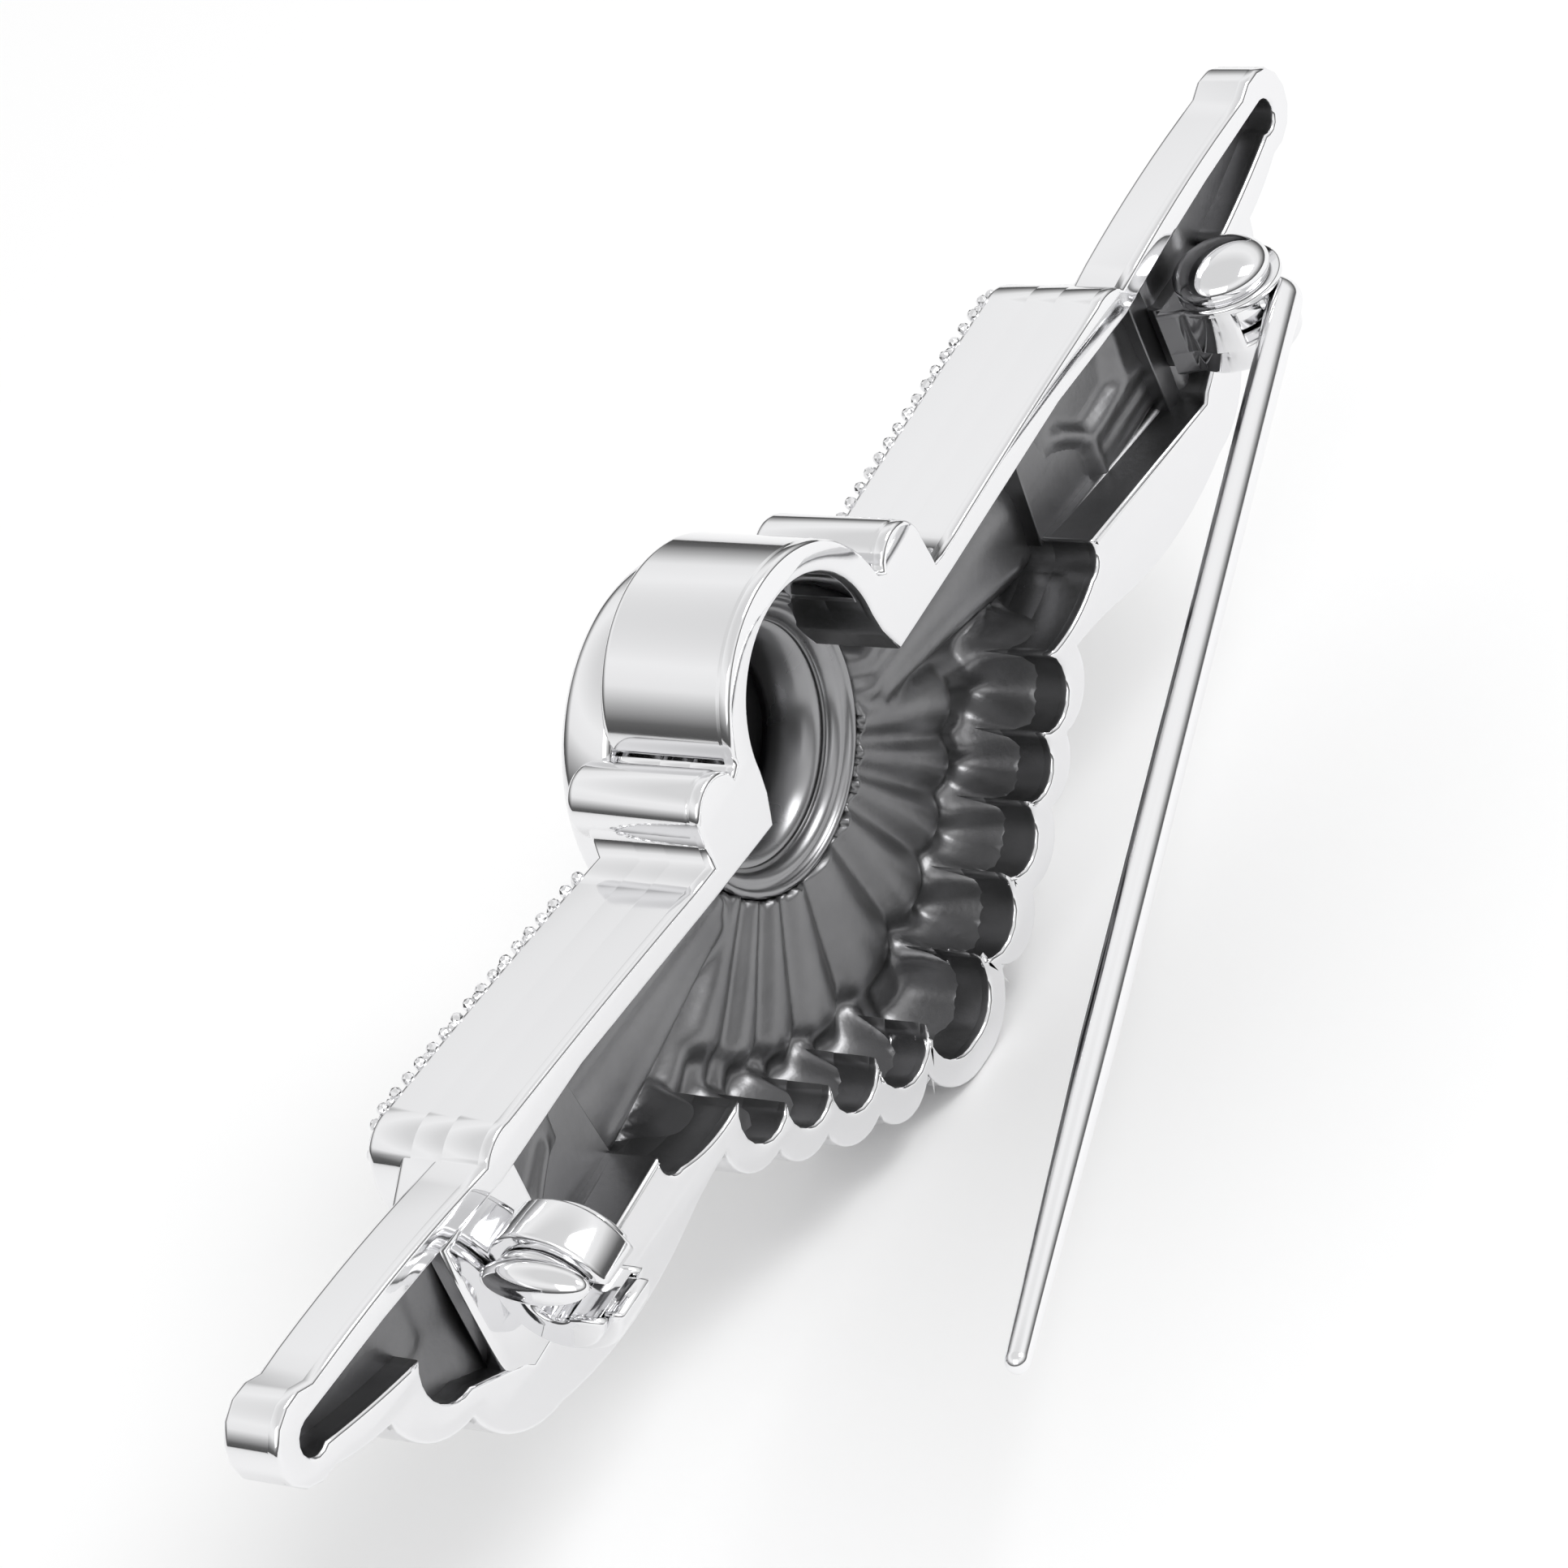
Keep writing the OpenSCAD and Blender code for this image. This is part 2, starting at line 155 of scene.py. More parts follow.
def hand_over(piece, body, slot, *nodes):
    """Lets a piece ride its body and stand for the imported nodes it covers."""
    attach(piece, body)
    if nodes:
        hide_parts(*nodes)
    report(piece)


def report(piece):
    low, high = np.array(piece.bound_box).min(0), np.array(piece.bound_box).max(0)
    size = (high - low) / MM
    print(f"{piece.name}: {len(piece.data.polygons)} faces, "
          f"{size[0]:.1f} x {size[1]:.1f} x {size[2]:.1f} mm")


# %% [markdown]
# ## Finishes
# Silver is bright because it mirrors a bright room. So the polish needs very
# little colour of its own: it is a metal with low roughness, and faint
# wavering in the roughness and a shallow ripple keep it from looking drawn.
# The maths is written as Python, with a small class around each socket.

# %% Socket maths
class Value:
    """A socket that can be used in arithmetic."""

    def __init__(self, shop, socket):
        self.shop, self.socket = shop, socket

    def _math(self, operation, a, b):
        return self.shop.node("ShaderNodeMath", {"operation": operation}, [a, b])

    def __add__(self, other): return self._math("ADD", self, other)
    def __radd__(self, other): return self._math("ADD", other, self)
    def __sub__(self, other): return self._math("SUBTRACT", self, other)
    def __rsub__(self, other): return self._math("SUBTRACT", other, self)
    def __mul__(self, other): return self._math("MULTIPLY", self, other)
    def __rmul__(self, other): return self._math("MULTIPLY", other, self)
    def clamp(self, low=0.0, high=1.0):
        return self._math("MINIMUM", self._math("MAXIMUM", self, low), high)


# %% [markdown]
# A finish starts from plain values set on the shader. Only what varies over the
# surface is fed by other nodes.

# %% The finish class
class Finish:
    """A material under construction, with one method that makes any node."""

    def __init__(self, name, colour, metallic, roughness, **fixed):
        self.material = bpy.data.materials.new(name)
        self.material.use_nodes = True
        self.tree = self.material.node_tree
        self.shader = self.tree.nodes["Principled BSDF"]
        self.shader.inputs["Base Color"].default_value = (*colour, 1)
        self.shader.inputs["Metallic"].default_value = metallic
        self.shader.inputs["Roughness"].default_value = roughness
        for socket, value in fixed.items():
            self.shader.inputs[socket.replace("_", " ")].default_value = value

    def node(self, kind, settings=None, sockets=(), out=0):
        made = self.tree.nodes.new(kind)
        for key, value in (settings or {}).items():
            setattr(made, key, value)
        pairs = sockets.items() if isinstance(sockets, dict) else enumerate(sockets)
        for key, value in pairs:
            if isinstance(value, Value):
                self.tree.links.new(value.socket, made.inputs[key])
            elif value is not None:
                made.inputs[key].default_value = value
        return Value(self, made.outputs[out])

    def place(self, scale=(1, 1, 1)):
        point = self.node("ShaderNodeTexCoord", out="Object")
        return self.node("ShaderNodeMapping", {}, {"Vector": point, "Scale": scale})

    def noise(self, point, scale, detail=3.0):
        return self.node("ShaderNodeTexNoise", {}, {"Vector": point, "Scale": scale,
                                                    "Detail": detail}, out="Fac")

    def feed(self, socket, value):
        self.tree.links.new(value.socket, self.shader.inputs[socket])

    def mix(self, share, first, second):
        mixer = self.tree.nodes.new("ShaderNodeMix")
        mixer.data_type = "RGBA"
        self.tree.links.new(share.socket, mixer.inputs[0])
        for socket, colour in ((6, first), (7, second)):
            mixer.inputs[socket].default_value = (*colour, 1)
        return Value(self, mixer.outputs[2])

    def bump(self, height, depth, strength):
        return self.node("ShaderNodeBump", {}, {"Height": height, "Distance": depth,
                                                "Strength": strength}, out="Normal")


# %% [markdown]
# The outside is plated and polished. The hollow back is as it came from the
# mould: darker, satin, with a fine grain and a tone that wavers at random.

# %% Make the finishes
def bright_plate():
    f = Finish("bright_plate", (0.84, 0.84, 0.85), 1.0, 0.07)
    point = f.place()
    cloud = f.noise(point, 260.0, 2.0)
    f.feed("Roughness", 0.045 + 0.05 * cloud)
    f.feed("Normal", f.bump(f.noise(point, 420.0, 2.0), 0.00002, 0.12))
    return f.material


def satin_hollow():
    f = Finish("satin_hollow", (0.22, 0.22, 0.225), 1.0, 0.36)
    point = f.place()
    cloud = f.noise(point, 330.0, 4.0)
    grain = f.noise(point, 5200.0, 3.0)
    f.feed("Base Color", f.mix(cloud, (0.14, 0.14, 0.145), (0.31, 0.31, 0.315)))
    f.feed("Roughness", (0.26 + 0.16 * cloud + 0.06 * grain).clamp())
    f.feed("Normal", f.bump(grain + 2.0 * cloud, 0.00003, 0.25))
    return f.material


# %% [markdown]
# The wire keeps the marks of its drawing, the dome's back is painted near-black
# as painted shade, the crystal is clear, and the collar has a softer sheen.

# %% Wire, black, crystal and collar
def drawn_wire():
    f = Finish("drawn_wire", (0.88, 0.88, 0.89), 1.0, 0.12)
    along = f.place((60.0, 1800.0, 1800.0))
    draw_marks = f.noise(along, 1.0, 2.0)
    f.feed("Roughness", 0.07 + 0.1 * draw_marks)
    f.feed("Normal", f.bump(draw_marks, 0.00001, 0.15))
    return f.material


def painted_shade_black():
    # painted shade: a near-black colour stands for the shade at the bottom of the collar's well
    f = Finish("painted_shade_black", (0.012, 0.012, 0.013), 0.6, 0.5)
    grain = f.noise(f.place(), 2400.0, 3.0)
    f.feed("Roughness", 0.4 + 0.2 * grain)
    f.feed("Normal", f.bump(grain, 0.00002, 0.2))
    return f.material


def clear_crystal():
    f = Finish("clear_crystal", (0.96, 0.98, 1.0), 0.0, 0.02, IOR=1.9,
               Transmission_Weight=0.55, Coat_Weight=0.0)
    f.feed("Roughness", 0.015 + 0.02 * f.noise(f.place(), 900.0, 2.0))
    return f.material


def soft_step():
    f = Finish("soft_step", (0.32, 0.32, 0.325), 1.0, 0.3)
    cloud = f.noise(f.place(), 380.0, 3.0)
    f.feed("Base Color", f.mix(cloud, (0.22, 0.22, 0.225), (0.42, 0.42, 0.43)))
    f.feed("Roughness", (0.22 + 0.14 * cloud).clamp())
    return f.material


BRIGHT = bright_plate()
SOFT = soft_step()
SATIN = satin_hollow()
WIRE = drawn_wire()
PAINTED_SHADE = painted_shade_black()
CRYSTAL = clear_crystal()
print("finishes:", [m.name for m in (BRIGHT, SATIN, WIRE, PAINTED_SHADE, CRYSTAL)])

# %% [markdown]
# ## The outline
# Half of the wing's outline is a chain of arcs: every second point is a
# corner, and the ones between say how far the edge bulges. The other half
# is its mirror image. Each chain is stretched to the frame's own size.

# %% Arcs and chains
DRAWN_HALF_SPAN, DRAWN_DROP, ROOT = 29.2, 14.1, 6.5
low_mm, high_mm = box_mm("wing_casting")
stretch = (high_mm[0] - ROOT) / (DRAWN_HALF_SPAN - ROOT)
deepen = (-low_mm[2] - 2) / (DRAWN_DROP - 2)


def at(point):
    x, z = point
    x = x if x <= ROOT else ROOT + (x - ROOT) * stretch
    return np.array([x, z if z >= -2 else -2 + (z + 2) * deepen])


def arc3(a, b, c, steps):
    """Points of the arc from a through b to c, leaving out c."""
    d = 2 * (a[0] * (b[1] - c[1]) + b[0] * (c[1] - a[1]) + c[0] * (a[1] - b[1]))
    aa, bb, cc = a @ a, b @ b, c @ c
    o = np.array([aa * (b[1] - c[1]) + bb * (c[1] - a[1]) + cc * (a[1] - b[1]),
                  aa * (c[0] - b[0]) + bb * (a[0] - c[0]) + cc * (b[0] - a[0])]) / d
    heads = [math.atan2(*(p - o)[::-1]) for p in (a, b, c)]
    turns = [(heads[i + 1] - heads[i] + math.pi) % math.tau - math.pi for i in (0, 1)]
    radius = np.linalg.norm(a - o)
    angles = heads[0] + sum(turns) * np.arange(steps) / steps
    return [o + radius * np.array([math.cos(t), math.sin(t)]) for t in angles]


def chain(points, steps=9):
    made = []
    for i in range(0, len(points) - 2, 2):
        made += arc3(*(at(p) for p in points[i:i + 3]), steps)
    return made


def straight(*points):
    return [at(p) for p in points]


def circle_part(radius, centre, first, last, steps):
    angles = np.radians(np.linspace(first, last, steps + 1))
    return [np.array([centre[0] + radius * math.sin(t), centre[1] + radius * math.cos(t)])
            for t in angles]


def both_sides(half):
    edge = half + [np.array([-p[0], p[1]]) for p in reversed(half)]
    return [p for i, p in enumerate(edge) if np.linalg.norm(p - edge[i - 1]) > 0.02]


# %% [markdown]
# The casting has three wing outlines, each thicker than the one around it,
# then a drum and two bars. The hollow has three outlines too, each deeper.

# %% The casting's outlines
DRUM_R, DRUM_IN, BAR_R, BAR_AT = 4.2, 3.3, 1.05, (5.35, 0.35)
MEDAL_Z, COLLAR_R = -2.2, 5.4
LEADING = [(6.5, -0.75), (12, -0.3), (17.2, 0), (18.1, -0.06), (18.6, -0.4)]
TIP = [(18.6, -0.4), (22, 0), (27, 0.17), (29.2, -0.7), (27.6, -2.3),
       (26.5, -2.75), (25.4, -3.05), (24.7, -4.5), (22.9, -5.35)]
LONG_FEATHER = [(22.9, -5.35), (22.2, -6.7), (20, -7.75), (17, -8.25), (13.4, -7.9),
                (12, -7.6), (10.7, -7.45)]
CENTRE_FEATHERS = [(10.7, -7.45), (10.2, -8.75), (8.8, -9.15), (8.3, -10.1),
                   (6.9, -10.4), (6.4, -11.35), (4.75, -11.7), (4, -12.7),
                   (2.3, -12.4), (1.6, -13.6), (0, -14.1)]
MID_FEATHER = [(21.2, -3.2), (21.9, -5.2), (20.9, -6.6), (17, -7.85), (12.6, -7.5)]
SHOULDER_END = [(18.6, -0.4), (18.9, -2.4), (17.6, -4.6), (15, -6.2), (11.4, -6.7)]
SCALLOPS = [(13, -5.4), (13, -6), (12.4, -6.35), (10.9, -6.75), (9.4, -6.7),
            (9.5, -8.2), (7.8, -8.3), (7.4, -9.6), (6, -9.35),
            (5.5, -10.8), (3.9, -10.25), (3.3, -11.9), (1.5, -11.2),
            (1.1, -12.9), (0, -13.2)]
TIP_HOLLOW_EDGE = [(27.8, -0.5), (28.3, -1), (27.5, -1.5), (25.6, -2.05), (23.6, -2.5),
                   (23.8, -3.7), (22.5, -4.6), (21.6, -5.1), (20.2, -5.9)]
drum_line = circle_part(DRUM_R, (0, 0), 0, 78, 26)
top_line = drum_line + circle_part(BAR_R, BAR_AT, -70, 95, 14)
whole_edge = top_line + chain(LEADING) + chain(TIP) + chain(LONG_FEATHER) + chain(CENTRE_FEATHERS)
mid_edge = (top_line + chain(LEADING) + straight((18.6, -0.4), (20.3, -1.6))
            + chain(MID_FEATHER) + chain(CENTRE_FEATHERS))
core_edge = top_line + chain(LEADING) + chain(SHOULDER_END) + chain(CENTRE_FEATHERS)
hollow_root = (circle_part(DRUM_IN, (0, 0), 0, 90, 24)
               + [np.array((3.4, -0.7)), np.array((3.75, -1.65)), at((7, -1.5))])
hollow_centre = hollow_root + straight((13.6, -1.05), (14.2, -2.7), (13.6, -4.2)) + chain(SCALLOPS)
hollow_shoulder = (hollow_root + straight((14, -1.05), (18.2, -1.1), (20.2, -1.9),
                                          (20.2, -5.9), (13.1, -5.4)) + chain(SCALLOPS))
hollow_whole = (hollow_root + straight((14, -1.05), (18.3, -1.2), (21.4, -0.85), (24, -0.65))
                + chain(TIP_HOLLOW_EDGE) + straight((20.2, -6), (13.1, -5.4)) + chain(SCALLOPS))
drum_arch = drum_line + circle_part(DRUM_IN, (0, 0), 82, 0, 26)
print("outline points:", len(both_sides(whole_edge)), len(both_sides(hollow_whole)))

# %% [markdown]
# ## The casting
# A plate is an outline, with or without a hole, filled as a flat curve and
# then given its thickness and a rounded edge. The plates are a hair's
# breadth apart, so each plate's rounded edge either shows or is buried.
# The walls of the hole take the satin finish.

# %% Places and outline points
WELD = 0.0005        # corners nearer than this become one
POLISHED_RIM = 0.1   # the hole's walls are polished to this depth


def behind_rim(u, v, height):
    return u, -height, v


def fine_points(loops, gap=0.15):
    """Points along closed outlines, never further apart than the gap."""
    made = [a + (b - a) * t for loop in loops for a, b in zip(loop, loop[1:] + loop[:1])
            for t in np.arange(0, 1, gap / max(np.linalg.norm(b - a), gap))]
    return np.array(made)


# %% [markdown]
# The plate itself starts as a filled curve. Its walls round a hole are found by
# being nearer to the hole than to the outer edge.

# %% A plate
def plate(name, outer, holes, start, end, rounding=0.09, grow=0.0, materials=(),
          place=behind_rim):
    """A closed plate between two heights over the plane it is drawn on."""
    data = bpy.data.curves.new(name, "CURVE")
    data.dimensions, data.fill_mode = "2D", "BOTH"
    data.extrude = (end - start) / 2 - rounding
    data.bevel_depth, data.bevel_resolution = rounding, 3
    data.offset = grow - rounding
    for loop in (outer, *holes):
        spline = data.splines.new("POLY")
        spline.points.add(len(loop) - 1)
        for point, (x, z) in zip(spline.points, loop):
            point.co = (x, z, 0, 1)
        spline.use_cyclic_u = True
    flat = bpy.data.objects.new(name, data)
    bpy.context.scene.collection.objects.link(flat)
    graph = bpy.context.evaluated_depsgraph_get()
    graph.update()
    mesh = bpy.data.meshes.new_from_object(flat.evaluated_get(graph))
    bpy.data.objects.remove(flat)
    mesh.materials.clear()
    for material in materials or (BRIGHT, SATIN):
        mesh.materials.append(material)
    bm = bmesh.new()
    bm.from_mesh(mesh)
    bmesh.ops.remove_doubles(bm, verts=bm.verts, dist=WELD)
    outside, inside = fine_points([outer]), fine_points(holes)
    for face in bm.faces:
        c = face.calc_center_median()
        here = np.array(c)[:2]
        is_wall = abs(face.normal.z) < 0.9
        in_hole = (is_wall and len(inside) and c.z + (start + end) / 2 > POLISHED_RIM
                   and np.linalg.norm(inside - here, axis=1).min()
                   < np.linalg.norm(outside - here, axis=1).min())
        face.material_index = 1 if in_hole else 0
    for vertex in bm.verts:
        u, v, height = vertex.co
        vertex.co = place(u, v, height + (start + end) / 2)
    bmesh.ops.recalc_face_normals(bm, faces=bm.faces)
    bmesh.ops.scale(bm, vec=(MM, MM, MM), verts=bm.verts)
    open_edges = sum(not edge.is_manifold for edge in bm.edges)
    bm.to_mesh(mesh)
    bm.free()
    print(f"{name}: {len(mesh.polygons)} faces, {open_edges} open edges")
    piece = bpy.data.objects.new(name, mesh)
    bpy.context.scene.collection.objects.link(piece)
    return smooth(piece)


def ring(radius, centre, steps=96):
    return circle_part(radius, centre, 0, 360 - 360 / steps, steps - 1)


# %% [markdown]
# Thin plates come first and thick ones last. The floors close the hollow from
# behind, and the window is left open for the medallion.

# %% Build the casting
TIP_T, MID_T, SHOULDER_T, DRUM_T, BAR_T = 1.9, 3.0, 4.15, 4.5, 4.65
TIP_HOLLOW, SHOULDER_HOLLOW, HOLLOW = 1.0, 1.75, 3.25
edges = {key: both_sides(half) for key, half in
         dict(whole=whole_edge, mid=mid_edge, core=core_edge, drum=drum_arch,
              h_whole=hollow_whole, h_shoulder=hollow_shoulder, h_centre=hollow_centre).items()}
window = ring(3.7, (0, MEDAL_Z))
plates = [
    plate("rim", edges["whole"], [edges["h_whole"]], 0, 0.5, 0.14),
    plate("long_feathers", edges["whole"], [edges["h_whole"]], 0.1, TIP_T, 0.24, 0.003),
    plate("middle", edges["mid"], [edges["h_shoulder"]], 1.3, MID_T, 0.26, 0.006),
    plate("core", edges["core"], [edges["h_centre"]], 2.3, SHOULDER_T, 0.28, 0.009),
    plate("centre_floor", edges["h_centre"], [window], HOLLOW, SHOULDER_T - 0.02, 0.05, 0.2,
          (SATIN, SATIN)),
    plate("drum", edges["drum"], [], 0.15, DRUM_T, 0.3, 0.014),
]
for sign in (-1, 1):
    tip = [p * (sign, 1) for p in chain(TIP_HOLLOW_EDGE) + straight((19.9, -6), (19.9, -0.9))]
    shoulder = [p * (sign, 1) for p in straight((13.5, -0.95), (18.4, -0.9), (20.25, -1.85),
                                                (20.25, -6.0), (13.0, -5.5))]
    plates.append(plate("tip_floor", tip, [], TIP_HOLLOW + 0.02, TIP_T - 0.03, 0.05, 0.2,
                        (SATIN,)))
    plates.append(plate("shoulder_floor", shoulder, [], SHOULDER_HOLLOW + 0.02, MID_T - 0.03,
                        0.05, 0.1, (SATIN,)))
for sign, word in ((-1, "left_bar"), (1, "right_bar")):
    bar = ring(BAR_R, (sign * BAR_AT[0], BAR_AT[1]), 64)
    plates.append(plate(word, bar, [], 0.15, BAR_T, rounding=0.35, grow=0.018))
casting = join("casting_look", plates)
hand_over(casting, "brooch", "casting", "wing_casting")

# %% [markdown]
# ## The relief
# Cast relief is a height over the wing's plane, so it is drawn as one: a
# grid of heights, where every feather adds a rounded ridge and the higher
# one wins. Half the grid is the mirror image of the other half.

# %% The grid
CELL = 0.13
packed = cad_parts["wing_casting"].data
casting_tree = BVHTree.FromPolygons([v.co for v in packed.vertices],
                                    [tuple(face.vertices) for face in packed.polygons])
FRONTWARD, BACKWARD = Vector((0, -1, 0)), Vector((0, 1, 0))
grid_x = np.arange(-math.ceil(high_mm[0] / CELL), math.ceil(high_mm[0] / CELL) + 1) * CELL
grid_z = np.arange(low_mm[2], high_mm[2] + CELL, CELL)
X, Z = np.meshgrid(grid_x, grid_z, indexing="ij")
side = np.abs(X)
out_r = np.hypot(X, Z - MEDAL_Z)
out_angle = np.degrees(np.arctan2(side, MEDAL_Z - Z))


def first_hit(from_y, direction):
    """How deep the casting is met from one side, or NaN where it is missed."""
    found = np.full(X.shape, np.nan)
    for i, x in enumerate(grid_x):
        for k, z in enumerate(grid_z):
            hit = casting_tree.ray_cast(Vector((x, from_y, z)) * MM, direction)[0]
            if hit is not None:
                found[i, k] = -hit.y / MM
    return found


back_depth = first_hit(2, FRONTWARD)
front_depth = first_hit(-8, BACKWARD)
print("grid", X.shape, "hollow cells", int((back_depth > 0.3).sum()))


# %% [markdown]
# A mask can be widened cell by cell, a height can be softened, and a stroke is
# a rounded ridge between two points.

# %% Brushes
def grow(mask, steps):
    for _ in range(steps):
        wide = mask.copy()
        wide[1:] |= mask[:-1]
        wide[:-1] |= mask[1:]
        wide[:, 1:] |= mask[:, :-1]
        wide[:, :-1] |= mask[:, 1:]
        mask = wide
    return mask


def blur(height, passes):
    for _ in range(passes):
        height = np.pad(height, 1, mode="edge")
        height = (height[:-2] + 2 * height[1:-1] + height[2:]) / 4
        height = (height[:, :-2] + 2 * height[:, 1:-1] + height[:, 2:]) / 4
    return height


def ridge(across, length, sharp=2.4):
    """1 on the crest, 0 at the edges: across runs -1..1, length past the tip."""
    q = np.hypot(across, np.maximum(length, 0))
    return np.where(q < 1, 1 - q ** sharp, -9)


def stroke(start, end, start_half, end_half, sharp=2.4):
    """A round-ended ridge between two points, from one half width to another."""
    a, b = np.array(start, float), np.array(end, float)
    run = b - a
    length = np.linalg.norm(run)
    t = ((side - a[0]) * run[0] + (Z - a[1]) * run[1]) / length ** 2
    off = np.abs((side - a[0]) * run[1] - (Z - a[1]) * run[0]) / length
    half = start_half + (end_half - start_half) * np.clip(t, 0, 1)
    past = np.maximum(t - 1, -t) * length / half
    return ridge(off / half, past, sharp)


# %% [markdown]
# In the hollow, a fan of fingers leaves the collar. Past their tips each
# scallop of the rim has two flutes. The long feathers, the shoulders' three
# channels and the creased tips follow outwards.

# %% Shape the hollow
def over(height, level, rise, shape):
    """The higher of the surface so far and one more ridge."""
    return np.where(shape > -1, np.maximum(height, level + rise * shape), height)


FAN = [-11, 11, 27, 40, 51, 64]
hollow = np.full(X.shape, -3.2)
for first, last in zip(FAN, FAN[1:]):
    middle, half = (first + last) / 2, (last - first) / 2
    across = (out_angle - max(middle, 0)) / half
    if first < 0:
        across = out_angle / half
    for flute in (-0.5, 0.5):
        ripple = (across - flute) / 0.5
        hollow = over(hollow, -3.18, 0.4, ridge(ripple, (8 - out_r)))
    tip = 8.95 + 0.12 * abs(middle - 33) / 22
    tip_half = math.radians(half) * tip
    sag = -2.98 + 0.12 * np.clip((out_r - 4.4) / 3, 0, 1)
    shape = ridge(across, (out_r - (tip - 0.6 * tip_half)) / (0.6 * tip_half))
    hollow = over(hollow, sag, 0.52, shape)
hollow = over(hollow, -3.1, 0.85, stroke((4.6, -4.0), (13.2, -4.9), 0.55, 2.1, 3.0))
hollow = over(hollow, -2.75, 0.62, stroke((4.9, -4.5), (12.2, -5.75), 0.3, 0.55, 1.6))
hollow = over(hollow, -3.1, 0.75, stroke((5.0, -3.2), (12.8, -2.6), 0.7, 1.4, 2.6))
hollow = np.where(side > 14.05, -1.72 + 0.12 * np.clip(Z + 3.2, -1, 2), hollow)
hollow = np.where((side > 18.6) & (Z > -4.1), -1.3 - 0.12 * (side - 18.6), hollow)
for k in range(3):
    level = -4.65 - 0.56 * k
    hollow = over(hollow, -1.74, 0.36, stroke((16.8, level), (20.4, level + 0.25), 0.3, 0.3, 2.0))
for start, end in (((15.1, -3.2), (16.4, -4.3)), ((16.4, -4.3), (16.4, -6.1)),
                   ((16.4, -4.3), (18.6, -4.12)), ((18.6, -4.12), (20.6, -4.15)),
                   ((18.7, -3.0), (18.6, -4.12))):
    hollow = over(hollow, -1.75, 0.5, stroke(start, end, 0.26, 0.26, 1.7))
crease = (Z + 2.77) - (side - 23.9) * 0.29
tip_floor = -0.93 + 0.13 * np.abs(crease)
tip_floor = np.where((side < 22.6) | (Z < -3.05 - 0.1 * (side - 22.6)), tip_floor - 0.1, tip_floor)
hollow = np.where(side > 20.35, np.minimum(tip_floor, -0.55), hollow)
hollow = blur(hollow, 2)


# %% [markdown]
# A relief becomes a closed shell: the height above, a plain floor below and
# a wall round the edge. The hollow's shell runs a little into the rim's
# metal, so that no edge of it shows.

# %% Turn heights into shells
def relief(name, mask, top, bottom, material):
    """A closed shell over the masked cells, between two height fields."""
    cells = mask[:-1, :-1] & mask[1:, :-1] & mask[:-1, 1:] & mask[1:, 1:]
    ii, kk = np.nonzero(cells)
    nx, nz = X.shape
    corner = lambda i, k: i * nz + k
    quads = np.stack([corner(ii, kk), corner(ii + 1, kk), corner(ii + 1, kk + 1),
                      corner(ii, kk + 1)], axis=1)
    walls = []
    for di, dk, a, b in ((-1, 0, 3, 0), (1, 0, 1, 2), (0, -1, 0, 1), (0, 1, 2, 3)):
        ni, nk = ii + di, kk + dk
        inside = (ni >= 0) & (nk >= 0) & (ni < nx - 1) & (nk < nz - 1)
        edge = ~inside
        edge[inside] = ~cells[ni[inside], nk[inside]]
        walls.append(np.stack([quads[edge, a], quads[edge, b], quads[edge, b] + nx * nz,
                               quads[edge, a] + nx * nz], axis=1))
    faces = np.concatenate([quads[:, ::-1], quads + nx * nz] + walls)
    points = np.concatenate([np.stack([X, top, Z], axis=2).reshape(-1, 3),
                             np.stack([X, bottom, Z], axis=2).reshape(-1, 3)])
    used, faces = np.unique(faces, return_inverse=True)
    piece = mesh_piece(name, points[used], faces.reshape(-1, 4).tolist(), [material])
    for face in piece.data.polygons:
        face.use_smooth = True
    return piece


in_hollow = back_depth > 0.3
from_wall, inner = np.zeros(X.shape), in_hollow.copy()
for _ in range(9):
    from_wall += inner * CELL
    inner = ~grow(~inner, 1)
from_wall = blur(from_wall, 4)
near = np.clip(1 - from_wall / 0.85, 0, 1)
fillet = hollow + (-0.42 - hollow) * near ** 2.6
at_scallops = (out_angle < 68) & (out_r > 6) & (side < 13.4)
hollow = blur(np.where(at_scallops, np.maximum(hollow, fillet), hollow), 1)
hollow_mask = grow(in_hollow, 2) & (out_r > 4.12) & (front_depth > -back_depth)
deep = np.where(np.isnan(back_depth), 3.25, np.maximum(back_depth, 0.9))
bottom = -np.maximum(deep, -hollow) - 0.25
lining = relief("hollow_lining", hollow_mask, hollow, bottom, SATIN)
hand_over(lining, "brooch", "casting")

# %% [markdown]
# The front can't be known from the back, so it gets plain tiers of rounded
# feathers. Each tier sinks into the plate before it reaches an edge.

# %% Feathers on the front
def field(strokes, rise=0.3):
    height = np.zeros(X.shape)
    for k, (start, end, half) in enumerate(strokes):
        shape = stroke(start, end, 0.8 * half, half, 2.0)
        height = np.maximum(height, np.where(shape > -1, 0.04 * k + rise * shape, 0))
    return height


def tier(name, level, mask, height):
    depth = np.zeros(X.shape)
    mask = ~grow(~mask, 3)
    inner = mask.copy()
    for _ in range(4):
        depth += inner
        inner = ~grow(~inner, 1)
    fall = blur(depth / 4, 2)
    top = -(level - 0.06 + fall * (0.06 + height))
    piece = relief(name, mask, np.full(X.shape, -(level - 0.35)), top, BRIGHT)
    hand_over(piece, "brooch", "casting")
    return piece


